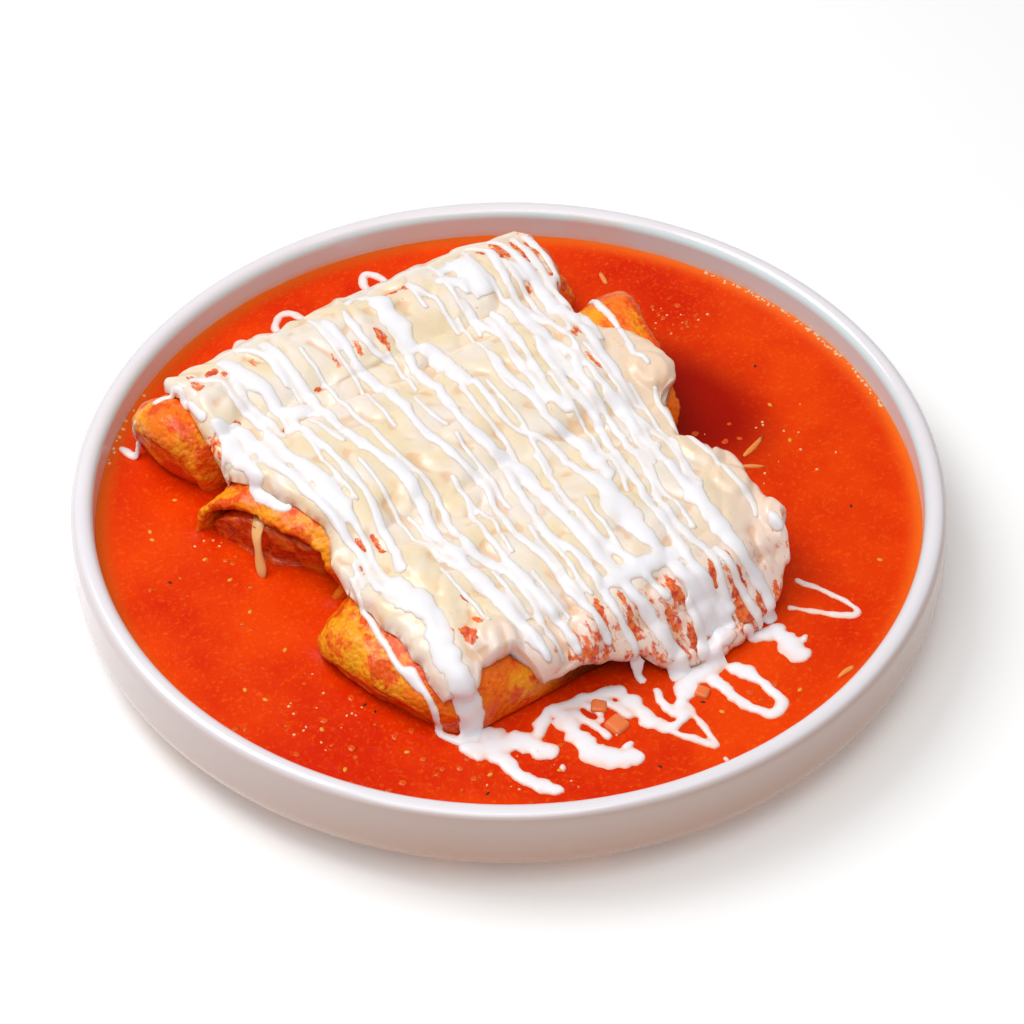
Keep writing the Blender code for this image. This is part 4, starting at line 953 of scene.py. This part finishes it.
SWAY_SPREAD = 3.1
# Cream on the sauce: the pools at the front, and the loops that overshot the food
CREAM_POOLS = [
    [(-36, -98.5, 1.3), (-34.5, -108, 1.4), (-31.5, -111.5, 1.4), (-28.5, -108, 1.4), (-27, -98.5, 1.3)],
    [(-20, -98.5, 1.5), (-18, -110, 1.5), (-14, -115, 1.6), (-9, -112, 1.5), (-5, -98.5, 1.5)],
    [(16.5, -98.5, 1.6), (17.5, -112, 1.6), (21, -117, 1.7), (24.5, -112, 1.6), (25.5, -98.5, 1.6)],
    [(-88.0, -90, 1.0), (-86.8, -86, 1.7), (-85.0, -81.5, 1.3)],
    [(-61, 73, 4.6), (-58.5, 77, 6.4), (-57.5, 83, 4.6)],
    [(-67, 73.5, 2.2), (-64, 77.5, 4.4), (-58, 80.5, 5.0), (-53, 82.5, 4.4), (-48.5, 85.5, 3.8)],
    [(-38, 77, 2.2), (-32, 78.5, 2.4), (-26, 79, 2.2), (-20, 81, 2.6), (-14.5, 84, 3.0)],
    [(-33, 80, 1.7), (-31, 86, 1.5), (-29.5, 91, 1.3), (-29, 96, 1.8)],
    [(-29, 79, 1.6), (-27, 83, 1.5), (-26, 88, 1.1)],
    [(-24.5, 78.5, 1.6), (-22.5, 83, 1.7), (-20.5, 88, 1.7), (-19, 93, 2.4)],
    [(-46, 96, 1.4), (-47.5, 98.5, 1.0)],
    [(-28.5, 101, 2.0), (-24, 100.5, 1.4)],
    [(26, 86, 2.4), (31, 88, 2.6), (36, 89, 2.8)],
    [(-63.5, 78, 2.8), (-65.3, 82, 1.5)],
    [(-60.5, 80, 3.2), (-59.8, 85, 2.9), (-58.8, 92, 2.8), (-57, 97.5, 2.8), (-53.5, 102.5, 3.1),
     (-51.0, 104.5, 2.2)],
    [(-53, 78, 3.4), (-50, 84, 3.8), (-47.5, 89, 4.4), (-45, 92.5, 3.2)],
    [(-47, 84, 2.6), (-43, 80.5, 2.3), (-38, 77, 2.4), (-35.5, 80, 3.2), (-36, 86, 4.2), (-36.5, 92, 4.4),
     (-36, 98, 4.4), (-32.5, 102.5, 4.6), (-27.5, 105.5, 4.2), (-24.5, 107, 2.4)],
    [(-28.5, 88, 1.5), (-26, 89, 1.2)],
    [(-30, 79, 1.2), (-26, 80, 1.5), (-21.5, 81, 1.7), (-17, 83, 2.4)],
    [(-16.5, 84, 3.0), (-16, 90, 3.6), (-15.5, 96, 3.8), (-13.5, 101, 3.0), (-9, 102.2, 2.2), (-4, 99, 2.2)],
    [(-7, 87, 1.9), (-8.2, 93, 1.6), (-8, 100, 2.0)],
    [(-13, 103, 1.5), (-8, 111, 1.6), (-5.2, 115.3, 1.3), (-4, 109, 1.2), (-3, 97, 1.4)],
    [(-6.1, 119.6, 0.8), (-6.1, 122.5, 0.8)],
    [(-8, 100, 2.2), (-2, 94.5, 3.2), (4, 90.5, 4.4), (11, 88.5, 5.0), (17, 87, 5.2), (23, 85.5, 3.2)],
    [(8.5, 92, 2.4), (10, 100, 2.2), (11.5, 108, 2.1), (14.5, 113.5, 2.1), (18.5, 114.5, 2.0), (21, 111, 2.0),
     (20.5, 104, 2.0), (19, 97, 2.5), (16, 92, 2.8)],
    [(37, 86, 2.8), (36.5, 92, 4.4), (36.5, 98, 4.4), (37.5, 103.5, 2.8)],
    [(40, 97, 1.8), (43.5, 95, 1.1)],
    [(45, 83, 1.1), (53, 91, 1.1), (60, 97, 1.3), (62, 94, 1.1), (58.5, 84, 1.1), (54, 75, 1.1)],
]
CREAM_SIDES = 14
CREAM_STEP = 0.8 * MM
CREAM_FLATNESS = 0.42
CREAM_HEIGHTS = (0.55 * MM, 0.85 * MM)
CREAM_WIDTH_SHARE = 0.84
CREAM_OPAQUE_FROM = 0.95 * MM
CREAM_LENS = 1.6
CREAM_ROOT = 0.9 * MM
CREAM_HUG = 0.85
SOFTENING_LOSS = 0.3 * MM
CREAM_VOXEL = 0.5 * MM
CREAM_FACE_SHARE = 0.5
DROP_FROM = 80 * MM
REACH_DOWN = 5 * MM
THREAD_STEP = 7.0
LINE_STEPS = 20
LINE_SMOOTHING = 6
LEAN_SMOOTHING = 12
END_BLUNTNESS = 0.12
EDGE_WAVE = 5 * MM
FINE_WAVE = 2.6
FINE_WAVE_SHARE = 0.55


def food_skin(pieces):
    """One search tree of the faces of several pieces."""
    verts, faces = [], []
    for piece in pieces:
        first = len(verts)
        verts.extend(vert.co.copy() for vert in piece.data.vertices)
        faces.extend([first + i for i in face.vertices] for face in piece.data.polygons)
    return BVHTree.FromPolygons(verts, faces)


def line_through(points, steps):
    """A smooth line through rows of numbers, with that many steps between two of them."""
    held = np.array([points[0], *points, points[-1]], float)
    made = []
    for a, b, c, d in zip(held, held[1:], held[2:], held[3:]):
        for t in np.arange(steps) / steps:
            made.append(
                a * (-t / 2 + t**2 - t**3 / 2) + b * (1 - 2.5 * t**2 + 1.5 * t**3)
                + c * (t / 2 + 2 * t**2 - 1.5 * t**3) + d * (t**3 - t**2) / 2
            )
    return np.array([*made, held[-1]])


def smoothed(values, times):
    """Evens out a row of points."""
    for _ in range(times):
        values[1:-1] = (values[:-2] + 2 * values[1:-1] + values[2:]) / 4
    return values


def thread(middle_x, first, last, half_width):
    """A fine thread's places in plan."""
    share = min(1.0, max(DRIFT_LEAST, (middle_x - DRIFT_FROM_X) / DRIFT_WIDTH))
    made = []
    for front in np.arange(first, last, THREAD_STEP):
        sway = THREAD_SWAY * noise.noise(Vector((middle_x * SWAY_SPREAD, front / SWAY_LENGTH, 0)))
        made.append((middle_x + share * float(curve_at(THREAD_DRIFT, front)) + sway, front, half_width))
    return made


def draped(points, skin):
    """A strand's line dropped onto the food: even places, the way up from the food, and half widths."""
    landed, ups, widths = [], [], []
    for x, front, half_width in line_through(points, LINE_STEPS):
        spot, up = skin.ray_cast(Vector((x * MM, -front * MM, DROP_FROM)), Vector((0, 0, -1)))[:2]
        if spot is not None:
            landed.append(spot)
            ups.append(up)
            widths.append([half_width * CREAM_WIDTH_SHARE * MM + SOFTENING_LOSS])
    landed, ups = smoothed(np.array(landed), LINE_SMOOTHING), smoothed(np.array(ups), LEAN_SMOOTHING)
    lengths = np.concatenate([[0], np.cumsum(np.linalg.norm(np.diff(landed, axis=0), axis=1))])
    marks = np.linspace(0, lengths[-1], max(4, int(lengths[-1] / CREAM_STEP)))
    rows = np.concatenate([landed, ups, widths], axis=1)
    even = np.stack([np.interp(marks, lengths, column) for column in rows.T], axis=1)
    return even[:, :3], even[:, 3:6], even[:, 6]


def add_strand(mesh_data, points, skin, seed, raggedness):
    """A strand of cream of uneven width along a draped line, lying close on the food, with rounded ends."""
    centres, ups, widths = draped(points, skin)
    count = len(centres)
    angles = np.linspace(0, math.tau, CREAM_SIDES, endpoint=False)
    loops = []
    for i in range(count):
        ahead = Vector(centres[min(i + 1, count - 1)] - centres[max(i - 1, 0)]).normalized()
        up = Vector(ups[i])
        up = (up - ahead * up.dot(ahead)).normalized()
        side = ahead.cross(up)
        from_end = min(i, count - 1 - i) * CREAM_STEP / widths[i]
        height = min(max(widths[i] * CREAM_FLATNESS, CREAM_HEIGHTS[0]), CREAM_HEIGHTS[1])
        ended = math.sqrt(1 - (1 - min(1.0, from_end + END_BLUNTNESS)) ** 2)
        loop = []
        for a in angles:
            on_edge = Vector(centres[i]) / EDGE_WAVE + Vector((seed, 3 * (math.cos(a) > 0), 0))
            stray = noise.noise(on_edge) + FINE_WAVE_SHARE * noise.noise(on_edge * FINE_WAVE)
            uneven = 1 + raggedness * stray
            spot = Vector(centres[i]) + side * widths[i] * uneven * ended * math.cos(a)
            near = skin.find_nearest(spot, REACH_DOWN)[0]
            if near is not None:
                spot = spot.lerp(near, CREAM_HUG)
            rise = math.sin(a)
            lift = height * rise**CREAM_LENS if rise > 0 else -CREAM_ROOT * math.sqrt(-rise)
            loop.append(mesh_data.verts.new(spot + up * ended * lift))
        loops.append(loop)
    for near, far in zip(loops, loops[1:]):
        for a, b, c, d in zip(near, far, far[1:] + far[:1], near[1:] + near[:1]):
            mesh_data.faces.new((a, d, c, b))
    mesh_data.faces.new(loops[0])
    mesh_data.faces.new(loops[-1][::-1])


def make_cream(name, strands, skin, raggedness):
    """Strands joined into one soft skin where they overlap."""
    mesh_data = bmesh.new()
    for number, points in enumerate(strands):
        add_strand(mesh_data, points, skin, 1.7 * number, raggedness)
    piece = settle(mesh_data, name)
    select_only(piece)
    remesh = piece.modifiers.new("flow", "REMESH")
    remesh.mode = "VOXEL"
    remesh.voxel_size = CREAM_VOXEL
    soften = piece.modifiers.new("soften", "SMOOTH")
    soften.factor = 0.5
    soften.iterations = 4
    thin_out = piece.modifiers.new("thin out", "DECIMATE")
    thin_out.ratio = CREAM_FACE_SHARE
    for modifier in (remesh, soften, thin_out):
        bpy.ops.object.modifier_apply(modifier=modifier.name)
    piece.data.shade_smooth()
    depths = [skin.find_nearest(vert.co)[3] for vert in piece.data.vertices]
    thin = (1 - np.clip(np.array(depths) / CREAM_OPAQUE_FROM, 0, 1)).astype(np.float32)
    piece.data.attributes.new("thin", "FLOAT", "POINT").data.foreach_set("value", thin)
    return piece


def cream_finish(name, edge_code):
    """Soured cream: opaque cool white with a soft wet shine. What it lies on shows through its thin edges."""
    made, tree, shader, place = start_finish(
        name,
        {
            "IOR": 1.4, "Coat Weight": 0.15, "Coat Roughness": 0.15, "Subsurface Weight": 0.3,
            "Subsurface Radius": (1.0, 0.8, 0.7), "Subsurface Scale": 0.0025, "Roughness": 0.36,
        },
    )
    tints = add(tree, "TexNoise", {"Vector": place, "Scale": 1000 / 9, "Detail": 4.0, "Roughness": 0.6})
    tint = add(tree, "MapRange", {"Value": tints, "From Min": 0.42, "From Max": 0.68, "To Max": 0.5})
    thin = add(tree, "Attribute", {}, attribute_name="thin")
    sheer = add(tree, "Math", {0: tint, 1: 0.5, 2: thin.outputs["Fac"]}, operation="MULTIPLY_ADD")
    through = add(
        tree, "MapRange", {"Value": sheer, "From Min": 0.14, "From Max": 1.05, "To Max": 0.85},
        interpolation_type="SMOOTHSTEP",
    )
    white = add(tree, "MixRGB", {"Fac": through, "Color1": colour("f8f4f9"), "Color2": colour(edge_code)})
    tree.links.new(white.outputs["Color"], shader.inputs["Base Color"])
    ripples = add(tree, "TexNoise", {"Vector": place, "Scale": 1000 / 3, "Detail": 2.0})
    relief = add(tree, "Bump", {"Height": ripples, "Strength": 0.12, "Distance": 0.4 * MM})
    tree.links.new(relief.outputs["Normal"], shader.inputs["Normal"])
    return made


food = food_skin([cheese, sauce, *tortillas.values()])
passes = CREAM_PASSES + [thread(*row) for row in FINE_THREADS]
dress(make_cream("cream_passes", passes, food, 0.38), cream_finish("cream_on_cheese", "f6e6da"), "cheese")
dress(make_cream("cream_pools", CREAM_POOLS, food, 0.6), cream_finish("cream_on_sauce", "f6b898"), "sauce")

# What floats in the sauce: tomato seeds, soft pulp, air bubbles, flecks of dried herb, half-sunk shreds of
# cheese, and two pieces of diced tomato. All of it lies loose in the surface.
SEEDS = [
    (-90.3, -32.2), (-89.3, 13.3), (-107.3, 20.3), (-104.4, 27.0), (-85.0, -59.9), (-88.3, -20.6),
    (-90.0, -5.8), (-98.3, -52.1), (-99.5, -48.7), (-80.7, 67.1), (-65.6, 87.7), (-99.1, 62.8), (-96.7, 46.2),
    (3.9, 105.7), (-47.9, 97.4), (28.1, 111.6), (90.2, 25.9), (94.8, 9.4), (80.8, 83.2),
]
SHREDS_IN_SAUCE = [
    (78.3, 22.0, 12, 20), (72.6, 28.5, 9, -35), (86.0, -71.0, 7, 75), (43.9, 113.5, 7, 10),
]
HERBS = [
    (-81.2, 45.0), (-80.2, 49.0), (-23.3, 112.6), (1.4, 99.5), (-70, 93), (88, 60), (-104, -30), (60, -98),
    (102, -8),
]
TOMATO_DICE = [(-24.5, 92.5, 6.2, 15), (-25, 84, 4.8, 50), (3.4, 96.5, 4.2, 35)]
# Clusters in mm: (x, distance in front, spread, count). Bubbles at the wall: first and last degree, count.
PULP_CLUSTERS = [
    (-62, 84, 17, 44), (-92, 42, 15, 20), (-96, -18, 13, 10), (94, -42, 6, 14), (86, 22, 12, 6),
    (20, 106, 16, 8),
]
BUBBLE_CLUSTERS = [
    (-88, 46, 10, 20), (-84, -40, 5, 10), (-60, 98, 12, 16), (90, 20, 16, 14), (94, -42, 5, 12),
]
WALL_BUBBLES = [(-25, 14, 80), (-140, -120, 14), (120, 150, 16)]
WALL_BUBBLES_OUT = 127.5
FLOAT_CLEARANCE = 1.6 * MM
FLOAT_LIMIT = 127.7


def floating(name, places, finish, squash, looseness):
    """Rounded lumps in the sauce's surface, each (x, distance in front, length, width, turn in degrees)."""
    mesh_data = bmesh.new()
    for x, front, length, width, turn in places:
        spot = food.ray_cast(Vector((x * MM, -front * MM, DROP_FROM)), Vector((0, 0, -1)))[0]
        if spot is None or spot.z > SAUCE_LEVEL + FLOAT_CLEARANCE or math.hypot(x, front) > FLOAT_LIMIT:
            continue
        c, s = math.cos(math.radians(turn)), math.sin(math.radians(turn))
        for vert in bmesh.ops.create_icosphere(mesh_data, subdivisions=2, radius=0.5)["verts"]:
            lump = vert.co * (1 + looseness * noise.noise(vert.co * 2.2 + Vector((x, front, 0))))
            along, across, up = lump.x * length, lump.y * width, lump.z * width * squash
            vert.co = spot + Vector((along * c - across * s, along * s + across * c, up)) * MM
    return dress(settle(mesh_data, name), finish, "sauce")


def strewn(clusters, sizes, seed):
    """Places strewn at random about clusters, with these size limits."""
    rng = np.random.default_rng(seed)
    made = []
    for x, front, spread, count in clusters:
        for _ in range(count):
            length = rng.uniform(*sizes)
            made.append((
                x + rng.normal(0, spread), front + rng.normal(0, spread), length,
                length * rng.uniform(0.6, 1.0), rng.uniform(0, 180),
            ))
    return made


DEEP_SHADE = 0.8


def wet_finish(name, code, roughness, subsurface):
    """A wet, slightly translucent food colour."""
    made, tree, shader, place = start_finish(
        name,
        {
            "IOR": 1.4, "Roughness": roughness, "Subsurface Weight": subsurface, "Subsurface Scale": 0.002,
            "Subsurface Radius": (1.0, 0.4, 0.15),
        },
    )
    shade = add(tree, "TexNoise", {"Vector": place, "Scale": 1000 / 5, "Detail": 2.0})
    darkening = [channel * DEEP_SHADE for channel in colour(code)[:3]]
    tone = add(tree, "MixRGB", {"Fac": shade, "Color1": (*darkening, 1.0), "Color2": colour(code)})
    tree.links.new(tone.outputs["Color"], shader.inputs["Base Color"])
    return made


# Maize-yellow seeds, orange pulp, pale bubbles of froth whose colour is partly painted glint, dark dried
# herb, oily cheese and ripe tomato
floating("tomato_seeds", [(x, y, 1.9, 1.3, 37 * i) for i, (x, y) in enumerate(SEEDS)],
         wet_finish("tomato_seed", "fba331", 0.25, 0.3), 0.5, 0.1)
floating("tomato_pulp", strewn(PULP_CLUSTERS, (1.0, 2.8), 3),
         wet_finish("soft_pulp", "f95607", 0.14, 0.3), 0.2, 0.45)
rng = np.random.default_rng(7)
froth = strewn(BUBBLE_CLUSTERS, (0.5, 1.1), 5)
for first, last, count in WALL_BUBBLES:
    for angle in np.radians(rng.uniform(first, last, count)):
        out, size = WALL_BUBBLES_OUT - abs(rng.normal(0, 0.5)), rng.uniform(0.5, 1.4)
        froth.append((out * math.cos(angle), out * math.sin(angle), size, size, 0))
# The bubbles' pale colour is partly froth and partly a painted glint
floating("sauce_bubbles", froth, wet_finish("pale_froth_and_painted_glint", "ffc994", 0.04, 0.1), 0.9, 0.0)
floating("herb_flecks", [(x, y, 1.6, 0.8, 50 * i) for i, (x, y) in enumerate(HERBS)],
         wet_finish("dried_herb", "3f2408", 0.5, 0.0), 0.4, 0.6)
floating("cheese_shreds", [(x, y, length, 1.9, turn) for x, y, length, turn in SHREDS_IN_SAUCE],
         wet_finish("oily_cheese", "fb9a4a", 0.25, 0.4), 0.7, 0.4)

# The diced tomato: cubes with soft corners, each a little tilted and sunk so far that its top just shows
DICE_BEVEL = 0.22
DICE_SHOWING = 1.4 * MM
DICE_TILT = 0.12
diced = bmesh.new()
for x, front, size, turn in TOMATO_DICE:
    middle = Vector((x, -front, 0)) * MM + Vector((0, 0, SAUCE_LEVEL + DICE_SHOWING - size * MM / 2))
    turned_and_tilted = Matrix.Rotation(math.radians(turn), 4, "Z") @ Matrix.Rotation(DICE_TILT, 4, "X")
    placed = Matrix.Translation(middle) @ turned_and_tilted
    cube = bmesh.ops.create_cube(diced, size=size * MM, matrix=placed)["verts"]
    edges = list({edge for vert in cube for edge in vert.link_edges})
    bmesh.ops.bevel(diced, geom=edges, offset=size * DICE_BEVEL * MM, segments=4, profile=0.5, affect="EDGES")
dress(settle(diced, "tomato_dice"), wet_finish("ripe_tomato", "f7864a", 0.15, 0.5), "sauce")

# A string of melted cheese that hangs from the middle roll's open end into the sauce, with oil on it
# Its middle line in mm: (x, distance in front, height, half width)
STRING = [
    (-73.2, -26.5, 33.5, 2.6), (-76.4, -23.5, 31.0, 1.9), (-77.9, -20.6, 27.5, 1.3),
    (-78.4, -19.2, 24.5, 1.7), (-78.8, -17.8, 22.0, 1.9), (-79.0, -17.0, 20.3, 1.5),
    (-79.2, -16.4, 19.6, 0.7),
]
STRING_SIDES = 14
STRING_STEPS = 6
STRING_DEPTH = 0.8
STRING_LEAN = 0.3
string = bmesh.new()
loops = []
for x, front, height, half in line_through(STRING, STRING_STEPS):
    loop = []
    for a in np.linspace(0, math.tau, STRING_SIDES, endpoint=False):
        c, s = half * math.cos(a), half * math.sin(a)
        spot = Vector((x + STRING_DEPTH * c, s - front, height + STRING_LEAN * c)) * MM
        loop.append(string.verts.new(spot))
    loops.append(loop)
for near, far in zip(loops, loops[1:]):
    for a, b, c, d in zip(near, far, far[1:] + far[:1], near[1:] + near[:1]):
        string.faces.new((a, b, c, d))
string.faces.new(loops[0])
string.faces.new(loops[-1])
dress(settle(string, "cheese_string"), wet_finish("oily_cheese_string", "fdbf7c", 0.2, 0.5), "cheese")

# The table and the light: a plain pale floor, a broad soft light from behind on the left, and weaker ones
# above and in front.
FLOOR_SIZE = 6.0
bpy.ops.object.select_all(action="DESELECT")
bpy.ops.mesh.primitive_plane_add(size=FLOOR_SIZE, location=(0, 0, 0))
floor = bpy.context.active_object
floor.name = "floor"
paper, tree, shader, place = start_finish("white_paper", {"Roughness": 0.9, "Base Color": colour("f4f4f4")})
shader.inputs["Emission Color"].default_value = colour("ffffff")
shader.inputs["Emission Strength"].default_value = 0.13
floor.data.materials.append(paper)


def add_light(name, azimuth_deg, elevation_deg, distance, size, watts):
    """A square soft light aimed at the food. Azimuth 0 is in front of it and 90 is to its right."""
    azimuth, elevation = math.radians(azimuth_deg), math.radians(elevation_deg)
    away = Vector((math.sin(azimuth), -math.cos(azimuth), 0)) * math.cos(elevation)
    away += Vector((0, 0, 1)) * math.sin(elevation)
    light = bpy.data.lights.new(name, "AREA")
    light.size = size
    light.energy = watts
    holder = bpy.data.objects.new(name, light)
    holder.location = away * distance
    holder.rotation_euler = away.to_track_quat("Z", "Y").to_euler()
    bpy.context.scene.collection.objects.link(holder)


add_light("key", -148, 58, 1.3, 0.7, 9.0)
add_light("top", 0, 86, 1.4, 1.0, 3.6)
add_light("front", -42, 64, 1.6, 1.0, 7.5)
world = bpy.data.worlds.new("studio")
bpy.context.scene.world = world
world.use_nodes = True
world.node_tree.nodes["Background"].inputs["Color"].default_value = colour("ffffff")
world.node_tree.nodes["Background"].inputs["Strength"].default_value = 0.25

# The camera: one metre from the rim's middle, 45 degrees up and 34 degrees round to the left.
AIM = Vector((0, 0, 31.5 * MM))
CAMERA_DISTANCE = 1.0
CAMERA_AZIMUTH = math.radians(-34)
CAMERA_ELEVATION = math.radians(44.68)
lens = bpy.data.cameras.new("camera")
lens.lens = 113.94
lens.sensor_width = 36
lens.shift_x = 0.0032
lens.shift_y = -0.0327
camera = bpy.data.objects.new("camera", lens)
away = Vector((math.sin(CAMERA_AZIMUTH), -math.cos(CAMERA_AZIMUTH), 0)) * math.cos(CAMERA_ELEVATION)
away += Vector((0, 0, 1)) * math.sin(CAMERA_ELEVATION)
camera.location = AIM + away * CAMERA_DISTANCE
camera.rotation_euler = away.to_track_quat("Z", "Y").to_euler()
bpy.context.scene.collection.objects.link(camera)
bpy.context.scene.camera = camera
bpy.context.scene.view_settings.view_transform = "Standard"
